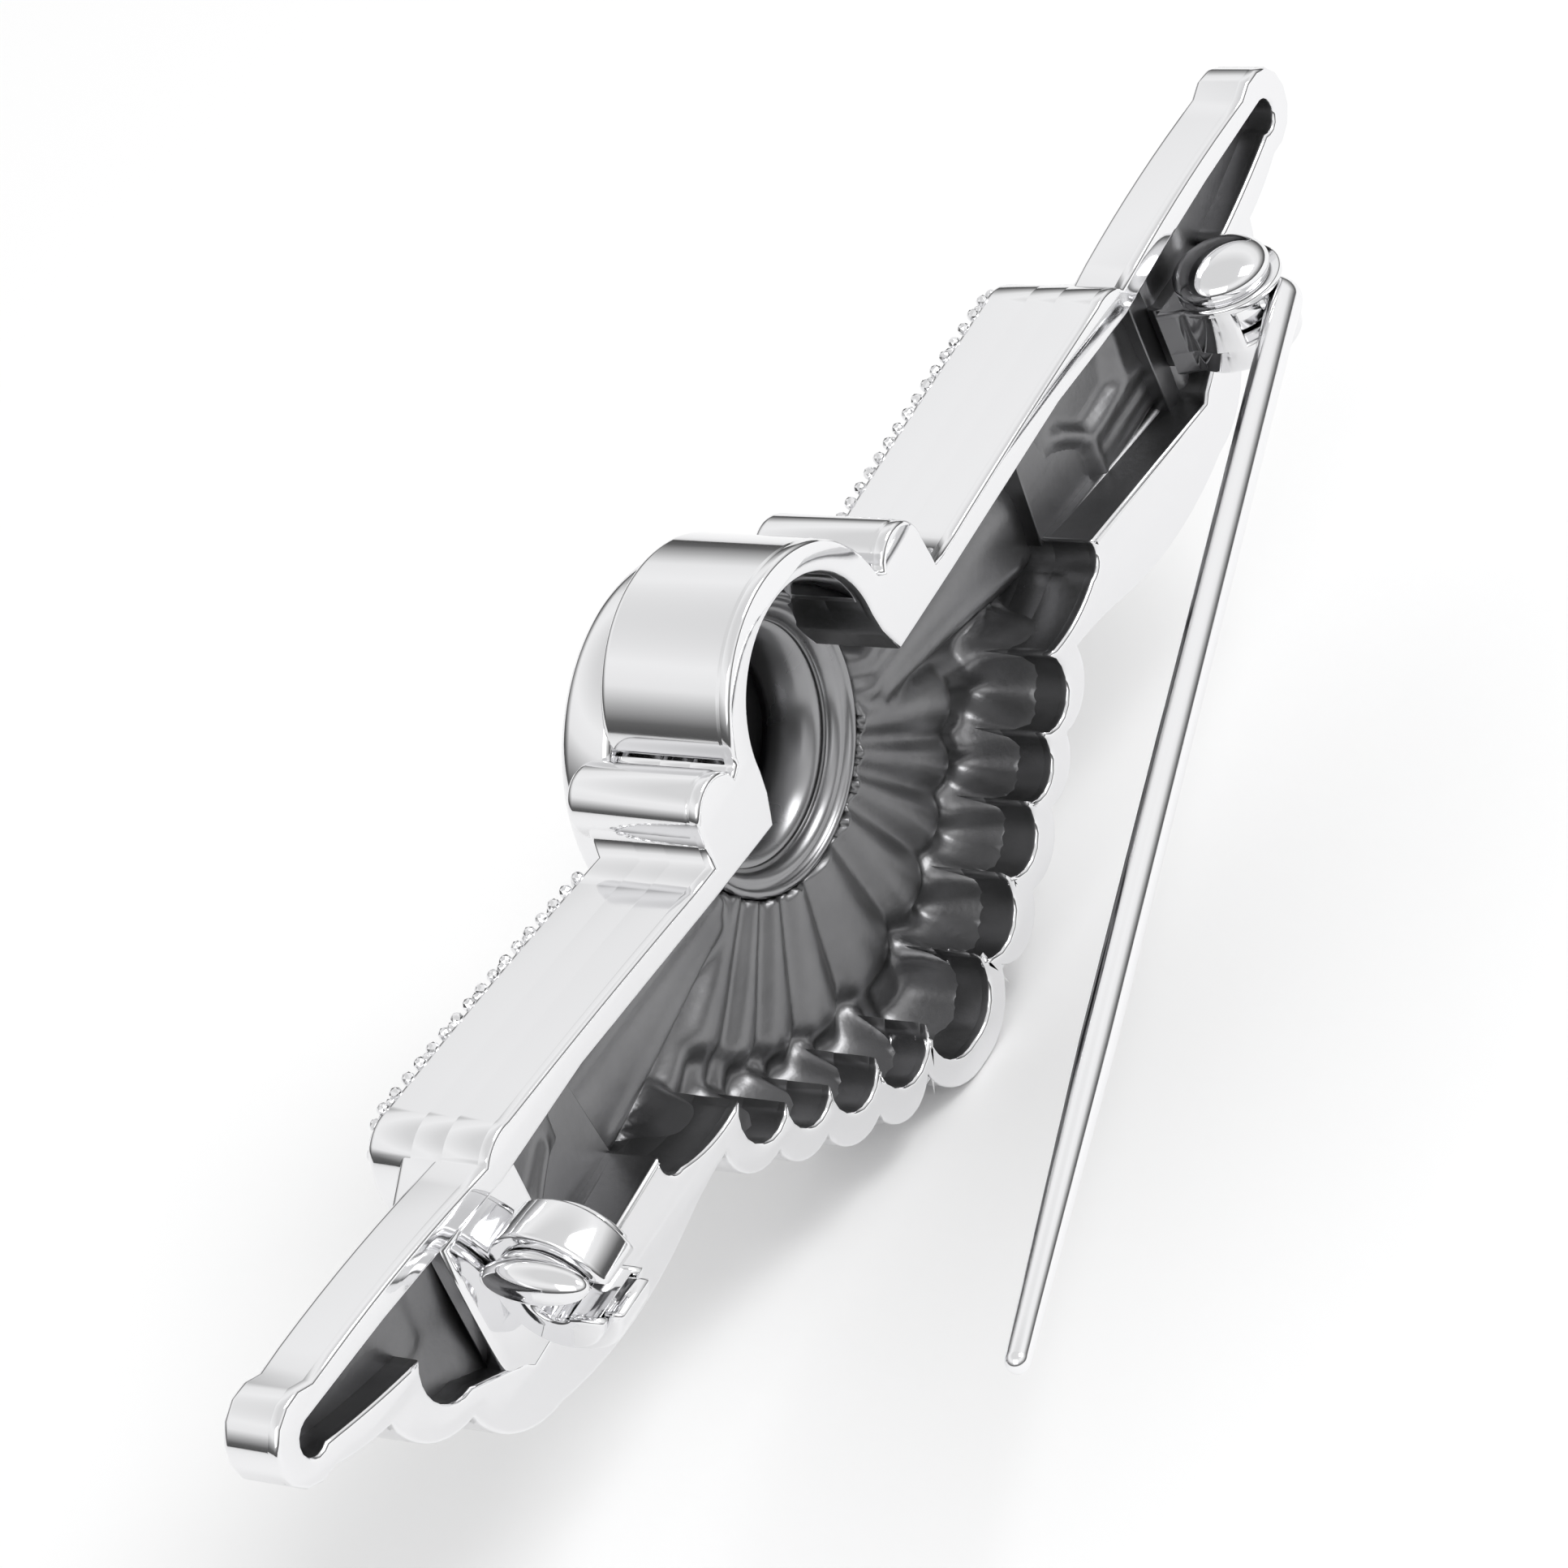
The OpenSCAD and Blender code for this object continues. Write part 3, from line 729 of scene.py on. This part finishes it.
fan_out = np.zeros(X.shape)
for first, last in zip(FAN, FAN[1:] + [80]):
    middle, half = max((first + last) / 2, 0), (last - first) / 2
    shape = ridge((out_angle - middle) / half, (out_r - 9.6) / 1.2, 2.0)
    fan_out = np.maximum(fan_out, np.where(shape > -1, 0.28 * shape, 0))
for middle in (19, 33.5, 45.5, 57.5, 69, 80, 0):
    shape = ridge((out_angle - middle) / 7.2, (out_r - 7.6) / 0.8, 2.0)
    fan_out = np.maximum(fan_out, np.where(shape > -1, 0.24 + 0.3 * shape, 0))
covers = field([((8.5, -5.6), (16.2, -5.4), 0.75), ((8, -4.6), (17.2, -4.3), 0.75),
                ((8, -3.4), (17.9, -3.1), 0.75), ((7, -2.3), (13, -2.2), 0.6)])
long_ones = field([((13, -7.1), (20.2, -6.9), 0.6), ((13, -6.2), (20.9, -5.6), 0.6),
                   ((15, -4.9), (21.2, -4.3), 0.6)])
tips = field([((15, -7.7), (21.3, -7.1), 0.6), ((18.5, -6.4), (23.4, -5.2), 0.7),
              ((19, -4.9), (24.3, -4.0), 0.6), ((19, -3.1), (25.9, -2.7), 0.6),
              ((19, -1.9), (27.6, -1.7), 0.6), ((19, -0.9), (28.3, -0.7), 0.5)])
plain = (np.hypot(side, Z) > 4.4) & (np.hypot(side - BAR_AT[0], Z - BAR_AT[1]) > 1.3)
stone_row = Z > -1.55 - 0.045 * np.maximum(17.2 - side, 0)
core_front = (front_depth > 4.1) & plain & (out_r > COLLAR_R - 0.3) & ~stone_row
tier("inner_feathers", SHOULDER_T, core_front, np.maximum(fan_out, covers))
tier("middle_feathers", MID_T, np.abs(front_depth - MID_T) < 0.05, long_ones)
tier("tip_feathers", TIP_T, np.abs(front_depth - TIP_T) < 0.05, tips)

# %% [markdown]
# ## The medallion
# The collar and the dome are turned. Seen from the back, the collar's inside
# is three rounded steps, and the dome's back is painted near-black as painted shade.

# %% Turned pieces
def turned(name, profile, centre, materials, steps=128, dark=None):
    """A closed profile of (radius, depth) pairs turned about an axis along Y."""
    rings, points, faces = [], [], []
    for radius, depth in profile:
        count = 1 if radius < 1e-6 else steps
        rings.append((len(points), count))
        for i in range(count):
            t = math.tau * i / steps
            points.append((centre[0] + radius * math.cos(t), -depth,
                           centre[1] + radius * math.sin(t)))
    whole = rings[0][1] > 1 and rings[-1][1] > 1
    for k in range(len(rings) if whole else len(rings) - 1):
        (a, na), (b, nb) = rings[k], rings[(k + 1) % len(rings)]
        for i in range(steps):
            j = (i + 1) % steps
            corners = list(dict.fromkeys([a + i % na, a + j % na, b + j % nb, b + i % nb]))
            if len(corners) > 2:
                faces.append(corners)
    piece = mesh_piece(name, points, faces, materials)
    for face in piece.data.polygons:
        face.material_index = int(bool(dark and dark(-face.center.y / MM)))
    return smooth(piece)


collar_profile = [(2.8, 4.9), (2.8, 4.6), (2.92, 4.2), (3.08, 3.8), (3.28, 3.5), (3.48, 3.36),
                  (3.6, 3.38), (3.64, 3.16), (3.76, 2.96), (3.92, 2.88), (4.06, 2.92),
                  (4.1, 2.76), (4.2, 2.66), (4.32, 2.7), (4.36, 2.85), (4.33, 3.3), (4.33, 4.18),
                  (5.15, 4.18), (5.33, 4.24), (5.4, 4.4), (5.4, 5.55), (5.36, 5.76),
                  (5.22, 5.93), (5.0, 6.0), (4.7, 6.0), (4.5, 5.95), (4.44, 5.82), (4.44, 4.9)]
collar = turned("collar_look", collar_profile, (0, MEDAL_Z), [BRIGHT, SOFT])
for face in collar.data.polygons:
    reach = math.hypot(face.center.x, face.center.z - MEDAL_Z * MM) / MM
    face.material_index = 1 if reach < 4.38 and face.center.y > -4.85 * MM else 0
hand_over(collar, "brooch", "collar", "medallion_collar")

DOME_R, GIRDLE, DOME_TOP = 4.38, 5.5, 7.0
ball = (DOME_R ** 2 + (DOME_TOP - GIRDLE) ** 2) / (2 * (DOME_TOP - GIRDLE))
swing = math.asin(DOME_R / ball)
dome_profile = [(0, 4.93), (4.25, 4.93), (4.36, 5.02), (DOME_R, GIRDLE - 0.05)]
dome_profile += [(ball * math.sin(t), DOME_TOP - ball * (1 - math.cos(t)))
                 for t in np.linspace(swing, 0, 22)[:-1]] + [(0, DOME_TOP)]
# painted shade: the dome's back face, at the bottom of the collar's well, is painted near-black
dome = turned("dome_look", dome_profile, (0, MEDAL_Z), [BRIGHT, PAINTED_SHADE],
              dark=lambda depth: depth < 5.0)
hand_over(dome, "brooch", "dome", "medallion_dome")

# %% [markdown]
# ## Stones and beads
# One cut stone and one bead are enough. Geometry Nodes sets a copy on every
# point of a row, turns it a little at random and gives it its finish.

# %% One stone, one bead
def gem_mesh():
    rings = [(0.56, 0.38, 8, 0.5), (0.82, 0.26, 8, 0), (1.0, 0.06, 16, 0), (1.0, -0.06, 16, 0)]
    points, starts = [], []
    for radius, height, count, shift in rings:
        starts.append((len(points), count))
        for i in range(count):
            t = math.tau * (i + shift) / count
            points.append((radius * math.cos(t), -height, radius * math.sin(t)))
    points.append((0, 0.75, 0))
    faces = [list(range(8))]
    for i in range(8):
        j = (i + 1) % 8
        faces += [[i, 8 + j, j], [i, 8 + i, 8 + j],
                  [8 + i, 16 + 2 * i, 16 + 2 * i + 1], [8 + i, 16 + 2 * i + 1, 8 + j],
                  [8 + j, 16 + 2 * i + 1, 16 + 2 * j]]
    for i in range(16):
        j = (i + 1) % 16
        faces += [[16 + i, 32 + i, 32 + j, 16 + j], [32 + i, len(points) - 1, 32 + j]]
    return mesh_piece("gem", points, faces, [CRYSTAL])


def bead_mesh():
    bm = bmesh.new()
    bmesh.ops.create_icosphere(bm, subdivisions=2, radius=MM)
    mesh = bpy.data.meshes.new("bead")
    bm.to_mesh(mesh)
    bm.free()
    return bpy.data.objects.new("bead", mesh)


gem, bead = gem_mesh(), bead_mesh()
bpy.context.scene.collection.objects.link(bead)


# %% [markdown]
# The node group has named inputs and a fixed seed, so the row comes out the
# same every time.

# %% The node group
def row_group():
    group = bpy.data.node_groups.new("row_of_pieces", "GeometryNodeTree")
    face = group.interface
    face.new_socket("Points", in_out="INPUT", socket_type="NodeSocketGeometry")
    for label, kind in (("Piece", "Object"), ("Finish", "Material"), ("Size", "Float"),
                        ("Turn", "Float"), ("Seed", "Int")):
        face.new_socket(label, in_out="INPUT", socket_type="NodeSocket" + kind)
    face.new_socket("Row", in_out="OUTPUT", socket_type="NodeSocketGeometry")
    nodes, links = group.nodes, group.links
    given, result = nodes.new("NodeGroupInput"), nodes.new("NodeGroupOutput")
    info, place = nodes.new("GeometryNodeObjectInfo"), nodes.new("GeometryNodeInstanceOnPoints")
    spin, turn = nodes.new("FunctionNodeRandomValue"), nodes.new("ShaderNodeCombineXYZ")
    real, paint = nodes.new("GeometryNodeRealizeInstances"), nodes.new("GeometryNodeSetMaterial")
    low = nodes.new("ShaderNodeMath")
    low.operation = "MULTIPLY"
    low.inputs[1].default_value = -1
    for start, end in (
            (given.outputs["Points"], place.inputs["Points"]),
            (given.outputs["Piece"], info.inputs["Object"]),
            (info.outputs["Geometry"], place.inputs["Instance"]),
            (given.outputs["Size"], place.inputs["Scale"]),
            (given.outputs["Turn"], low.inputs[0]),
            (low.outputs[0], spin.inputs[2]),
            (given.outputs["Turn"], spin.inputs[3]),
            (given.outputs["Seed"], spin.inputs["Seed"]),
            (spin.outputs[1], turn.inputs["Y"]),
            (turn.outputs[0], place.inputs["Rotation"]),
            (place.outputs["Instances"], real.inputs["Geometry"]),
            (real.outputs["Geometry"], paint.inputs["Geometry"]),
            (given.outputs["Finish"], paint.inputs["Material"]),
            (paint.outputs["Geometry"], result.inputs["Row"])):
        links.new(start, end)
    return group


ROW = row_group()


# %% [markdown]
# A row is settled into a plain mesh. The stones' places are read from the
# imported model, one from each separate solid.

# %% Rows and places
def row(name, points, piece, finish, size, turn, seed):
    """Copies of a piece on the given points, as a plain mesh."""
    made = mesh_piece(name, points, [], [finish])
    step = made.modifiers.new("row", "NODES")
    step.node_group = ROW
    values = dict(Piece=piece, Finish=finish, Size=size, Turn=turn, Seed=seed)
    for item in ROW.interface.items_tree:
        if item.item_type == "SOCKET" and item.in_out == "INPUT" and item.name in values:
            step[item.identifier] = values[item.name]
    return settle(made)


def islands(node):
    """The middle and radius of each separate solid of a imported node."""
    bm = bmesh.new()
    bm.from_mesh(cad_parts[node].data)
    bmesh.ops.remove_doubles(bm, verts=bm.verts, dist=0.001 * MM)
    left, found = set(bm.verts), []
    while left:
        front, group = [left.pop()], []
        while front:
            vertex = front.pop()
            group.append(np.array(vertex.co) / MM)
            for edge in vertex.link_edges:
                other = edge.other_vert(vertex)
                if other in left:
                    left.discard(other)
                    front.append(other)
        group = np.array(group)
        low, high = group.min(0), group.max(0)
        found.append(((low + high) / 2, (high[0] - low[0]) / 2))
    bm.free()
    return sorted(found, key=lambda pair: pair[0][0])


# %% [markdown]
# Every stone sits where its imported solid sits. Beads hold the stones, and finer
# beads run along the leading edge.

# %% Set the stones
GIRDLE_Y = -SHOULDER_T
beads = []
for word in ("left", "right"):
    small, large = islands(word + "_edge_stones"), islands(word + "_shoulder_stone")
    places = [(c[0], GIRDLE_Y, c[2]) for c, _ in small]
    gems = row(word + "_gems", places, gem, CRYSTAL, small[0][1] * 0.97, 0.35, 11)
    hand_over(gems, "brooch", "crystal", word + "_edge_stones")
    big = row(word + "_large_gem", [(large[0][0][0], GIRDLE_Y - 0.1, large[0][0][2])], gem,
              CRYSTAL, large[0][1] * 0.97, 0.2, 5)
    hand_over(big, "brooch", "crystal", word + "_shoulder_stone")
    for a, b in zip(places, places[1:]):
        middle = (np.array(a) + np.array(b)) / 2
        beads += [middle + (0, 0, s * 0.5) for s in (-1, 1)]
    centre, radius = large[0]
    beads += [(centre[0] + 1.08 * radius * math.cos(t), GIRDLE_Y, centre[2] + 1.08 * radius
               * math.sin(t)) for t in np.linspace(0.4, math.tau + 0.4, 9)[:-1]]
prongs = row("prong_beads", beads, bead, BRIGHT, 0.2, 3.0, 3)
hand_over(prongs, "brooch", "casting")
EDGE_TOP = 17.2      # where the leading edge is highest
edge_line = [(s * x, -SHOULDER_T + 0.02,
              -0.05 - 0.046 * (EDGE_TOP - x) - 0.00226 * (EDGE_TOP - x) ** 2)
             for x in np.arange(7.4, 17.6, 0.62) for s in (-1, 1)]
milling = row("edge_beads", edge_line, bead, BRIGHT, 0.2, 3.0, 8)
hand_over(milling, "brooch", "casting")

# %% [markdown]
# ## Hinge, pin and catch
# These small parts are plates and tubes too, drawn in their own planes.

# %% The hinge
HINGE, BARREL_R, PIN_Z = (-22.0 * stretch, 0.9), 1.75, -3.45
lug_low, lug_high = box_mm("hinge_lug")
SLOT = 0.55


def across_z(u, v, height):
    return u, v, height


def about_hinge(radius, first, last, steps):
    return [np.array((HINGE[0] + radius * math.cos(t), HINGE[1] + radius * math.sin(t)))
            for t in np.radians(np.linspace(first, last, steps))]


legs = [np.array((HINGE[0] - 1.9, -0.5)), np.array((HINGE[0] + 1.9, -0.5))]
barrel = about_hinge(BARREL_R, -20, 200, 44) + legs
pocket = (about_hinge(BARREL_R, -20, 36, 12) + about_hinge(1.2, 36, -164, 40)
          + about_hinge(BARREL_R, 196, 200, 3) + legs)
block = [np.array(p) for p in ((HINGE[0] - 1.55, -1.15), (HINGE[0] + 1.55, -1.15),
                               (HINGE[0] + 1.55, -0.45), (HINGE[0] - 1.55, -0.45))]
lug = join("lug_look", [
    plate("cap", barrel, [], PIN_Z + SLOT - 0.002, lug_high[2], 0.1, 0.003, (BRIGHT,), across_z),
    plate("slotted", pocket, [], PIN_Z - SLOT - 0.25, PIN_Z + SLOT + 0.15, 0.06, 0.0,
          (BRIGHT,), across_z),
    plate("barrel", barrel, [], lug_low[2], PIN_Z - SLOT, 0.12, 0.003, (BRIGHT,), across_z),
    plate("foot", block, [], lug_low[2] + 0.05, lug_high[2] - 0.05, 0.08, 0, (SATIN,),
          across_z)])
hand_over(lug, "brooch", "findings", "hinge_lug")

head = lug_high[2]
rivet_profile = [(0, -0.28), (0.45, -0.28), (0.7, -0.2), (0.78, -0.08), (0.6, 0.0)]
rivet_profile = [(r, lug_low[2] + h) for r, h in rivet_profile]
rivet_profile += [(0.52, lug_low[2] + 0.05), (0.52, head - 0.05)]
rivet_profile += [(1.5 * math.cos(t), head + 0.25 + 0.72 * math.sin(t))
                  for t in np.radians(np.linspace(-20, 90, 24))[:-1]] + [(0, head + 0.97)]


def stand_up(piece, x, y):
    """Turns a piece made about Y at the origin so that its axis is Z."""
    for vertex in piece.data.vertices:
        a, b, c = vertex.co
        vertex.co = (a + x * MM, c + y * MM, -b)
    piece.data.flip_normals()
    return piece


rivet = stand_up(turned("rivet_look", rivet_profile, (0, 0), [BRIGHT]), *HINGE)
hand_over(rivet, "brooch", "findings", "hinge_rivet")


# %% [markdown]
# The pin is a round tube along its bent line, with a flat eye for the rivet.
# It is drawn at the open angle.

# %% The pin
def tube(name, path, radii, material, sides=40):
    """A tube through points in a plane of constant Z, with closed ends."""
    points, faces = [], []
    for k, (here, radius) in enumerate(zip(path, radii)):
        ahead = path[min(k + 1, len(path) - 1)] - path[max(k - 1, 0)]
        ahead = ahead / np.linalg.norm(ahead)
        across = np.array([-ahead[1], ahead[0]])
        for i in range(sides):
            t = math.tau * i / sides
            flat = here + across * radius * math.cos(t)
            points.append((flat[0], flat[1], PIN_Z + radius * math.sin(t)))
    for k in range(len(path) - 1):
        for i in range(sides):
            j = (i + 1) % sides
            faces.append([k * sides + i, k * sides + j, (k + 1) * sides + j, (k + 1) * sides + i])
    faces += [list(range(sides)), list(range((len(path) - 1) * sides, len(path) * sides))]
    piece = mesh_piece(name, points, faces, [material])
    for face in piece.data.polygons:
        face.use_smooth = True
    return piece


OPEN, OFFSET, LENGTH, POINT, WIRE_R, TIP_R = math.radians(17.8), 1.745, 45.0, 12.0, 0.5, 0.34
BEND = 0.62
leg = [(0.0, y) for y in np.linspace(0.7, OFFSET - BEND, 4)[:-1]]
bend = [(BEND - BEND * math.cos(t), OFFSET - BEND + BEND * math.sin(t))
        for t in np.radians(np.linspace(0, 90, 12))]
stem = [(x, OFFSET) for x in np.linspace(2.6, LENGTH - POINT, 8)]
point = [(x, OFFSET) for x in np.linspace(LENGTH - POINT, LENGTH - TIP_R, 10)[1:]]
end = [(LENGTH - TIP_R + TIP_R * math.sin(t), OFFSET)
       for t in np.radians([15, 30, 45, 60, 72, 82, 88])]
line = leg + bend + stem + point + end
radii = ([WIRE_R + 0.03] * (len(leg) + len(bend)) + [WIRE_R] * len(stem)
         + [WIRE_R + (TIP_R - WIRE_R) * k / len(point) for k in range(1, len(point) + 1)]
         + [TIP_R * math.cos(t) for t in np.radians([15, 30, 45, 60, 72, 82, 88])])
cos, sin = math.cos(OPEN), math.sin(OPEN)
path = [np.array((HINGE[0] + x * cos - y * sin, HINGE[1] + x * sin + y * cos)) for x, y in line]
eye = plate("eye", [np.array((HINGE[0] + 1.1 * math.cos(t), HINGE[1] + 1.1 * math.sin(t)))
                    for t in np.linspace(0, math.tau, 49)[:-1]],
            [[np.array((HINGE[0] + 0.56 * math.cos(t), HINGE[1] + 0.56 * math.sin(t)))
              for t in np.linspace(0, math.tau, 33)[:-1]]],
            PIN_Z - 0.475, PIN_Z + 0.475, 0.08, 0, (WIRE, WIRE), across_z)
pin = join("pin_look", [tube("stem", path, radii, WIRE), eye])
hand_over(pin, "pin", "wire", "pin_stem")

# %% [markdown]
# The catch is a C-shaped ring. A sleeve with two flanges turns inside it, and
# its egg-shaped lever is pushed with a fingertip. The bridge below has a round
# bed for the ring.

# %% The catch
CATCH = (19.2 * stretch, 1.6, PIN_Z)
RING_R, RING_IN, RING_W, MOUTH, BORE, GAP, FLANGE = 2.1, 1.48, 1.5, 1.1, 0.72, 0.04, 0.3


def along_x(u, v, height):
    return height, u, v


def c_shape(outer, inner):
    """A C open towards +Y, in the plane across the pin."""
    a, b = math.asin(MOUTH / 2 / outer), math.asin(MOUTH / 2 / inner)
    outline = [(outer * math.cos(t), outer * math.sin(t)) for t in np.linspace(a, math.tau - a, 60)]
    outline += [(inner * math.cos(t), inner * math.sin(t)) for t in np.linspace(math.tau - b, b, 44)]
    return [np.array((CATCH[1] + y, CATCH[2] + z)) for y, z in outline]


low, high = CATCH[0] - RING_W / 2, CATCH[0] + RING_W / 2
catch = plate("catch_look", c_shape(RING_R, RING_IN), [], low, high, 0.15, 0, (BRIGHT,), along_x)
hand_over(catch, "brooch", "findings", "catch_ring")
sleeve = join("sleeve_look", [
    plate("sleeve", c_shape(RING_IN - GAP, BORE), [], low - GAP - 0.15, high + GAP + 0.15,
          0.04, 0, (BRIGHT,), along_x),
    plate("flange", c_shape(RING_IN + 0.21, BORE + 0.01), [], low - GAP - FLANGE, low - GAP,
          0.1, 0, (BRIGHT,), along_x),
    plate("flange", c_shape(RING_IN + 0.21, BORE + 0.01), [], high + GAP, high + GAP + FLANGE,
          0.1, 0, (BRIGHT,), along_x)])
hand_over(sleeve, "safety", "findings", "catch_sleeve")
egg = [(0.6 * math.sin(t), -1.75 * math.cos(t)) for t in np.radians(np.linspace(0, 180, 30))]
egg[0], egg[-1] = (0, egg[0][1]), (0, egg[-1][1])
lever = turned("lever_look", [(r, h - 2.1) for r, h in egg], (high + GAP + FLANGE + 0.48,
                                                            PIN_Z + BORE + 0.6), [BRIGHT], 64)
hand_over(lever, "safety", "findings", "sleeve_lever")
bridge_low, bridge_high = box_mm("catch_bridge")
band = [np.array(p) for p in ((bridge_low[0], bridge_low[2]), (bridge_high[0], bridge_low[2]),
                              (bridge_high[0], bridge_high[2]), (bridge_low[0], bridge_high[2]))]
bridge = plate("bridge_look", band, [], 0.03 - bridge_high[1], -bridge_low[1], 0.2, 0, (BRIGHT,))
round_bed = [np.array((CATCH[1] + RING_R * math.cos(t), CATCH[2] + RING_R * math.sin(t)))
             for t in np.linspace(0, math.tau, 97)[:-1]]
bed = plate("bed", round_bed, [], low - GAP - FLANGE - 0.06, high + GAP + FLANGE + 0.06, 0.02,
            0.01, (BRIGHT,), along_x)
hollowing = bridge.modifiers.new("bed for the ring", "BOOLEAN")
hollowing.object, hollowing.solver = bed, "EXACT"
settle(bridge)
bpy.data.objects.remove(bed)
hand_over(bridge, "brooch", "findings", "catch_bridge")
for tool in (gem, bead):
    bpy.data.objects.remove(tool)

# %% [markdown]
# ## The view
# The camera looks at the back from above one wing tip, through a long lens.

# %% The camera
scene = bpy.context.scene
camera = bpy.data.objects.new("camera", bpy.data.cameras.new("camera"))
scene.collection.objects.link(camera)
scene.camera = camera
camera.data.lens = 155.4
camera.data.sensor_width = 36
camera.data.clip_start = 0.005
camera.data.clip_end = 10
view_right = Vector((-0.47434, 0.80990, -0.34504))
view_up = Vector((-0.65836, -0.06616, 0.74979))
view_back = Vector((0.58443, 0.58282, 0.56459))
camera.matrix_world = Matrix((view_right, view_up, view_back)).transposed().to_4x4()
camera.location = (0.11125, 0.10820, 0.10382)

# %% [markdown]
# ## Light
# Silver shows the room and nothing else. The room is a white dome with a
# grey band at the horizon, which draws the dark lines along every rounded
# edge. Two soft lamps give the floor its faint shadow.

# %% Light and floor
world = bpy.data.worlds.new("room")
scene.world = world
world.use_nodes = True
tree = world.node_tree
where = tree.nodes.new("ShaderNodeTexCoord")
split = tree.nodes.new("ShaderNodeSeparateXYZ")
bands = tree.nodes.new("ShaderNodeValToRGB")
tree.links.new(where.outputs["Generated"], split.inputs[0])
tree.links.new(split.outputs["Z"], bands.inputs["Fac"])
tree.links.new(bands.outputs["Color"], tree.nodes["Background"].inputs["Color"])
STOPS = ((0.0, 0.08), (0.12, 0.14), (0.3, 0.5), (0.47, 0.93), (0.65, 1.0), (0.85, 0.78))
for k, (place, grey) in enumerate(STOPS):
    stop = bands.color_ramp.elements[k] if k < 2 else bands.color_ramp.elements.new(place)
    stop.position = place
    stop.color = (grey, grey, grey, 1)
tree.nodes["Background"].inputs["Strength"].default_value = 1.0
scene.view_settings.view_transform = "Standard"


def soft_light(name, place, size, power):
    data = bpy.data.lights.new(name, "AREA")
    data.energy, data.size = power, size
    lamp = bpy.data.objects.new(name, data)
    scene.collection.objects.link(lamp)
    lamp.location = place
    lamp.rotation_mode = "QUATERNION"
    lamp.rotation_quaternion = (-Vector(place)).to_track_quat("-Z", "Y")
    return lamp


soft_light("key", (-0.15, 0.25, 0.35), 0.2, 0.8)
soft_light("fill", (0.35, 0.1, 0.25), 0.3, 0.25)
floor_z = low_mm[2] - 0.05
floor = mesh_piece("floor", [(x, y, floor_z) for x, y in
                             ((-900, -900), (900, -900), (900, 900), (-900, 900))],
                   [(0, 1, 2, 3)], [])
paper = Finish("pale_floor", (0.93, 0.93, 0.93), 0.0, 0.8)
paper.feed("Roughness", 0.7 + 0.2 * paper.noise(paper.place(), 40.0))
floor.data.materials.append(paper.material)
floor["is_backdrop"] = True

# %% [markdown]
# ## Both boxes
# Both boxes, packed and dressed, are set side by side in one table.

# %% Both boxes
low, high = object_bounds()
{"cad": [list(cad_low), list(cad_high)], "visual": [list(low), list(high)]}
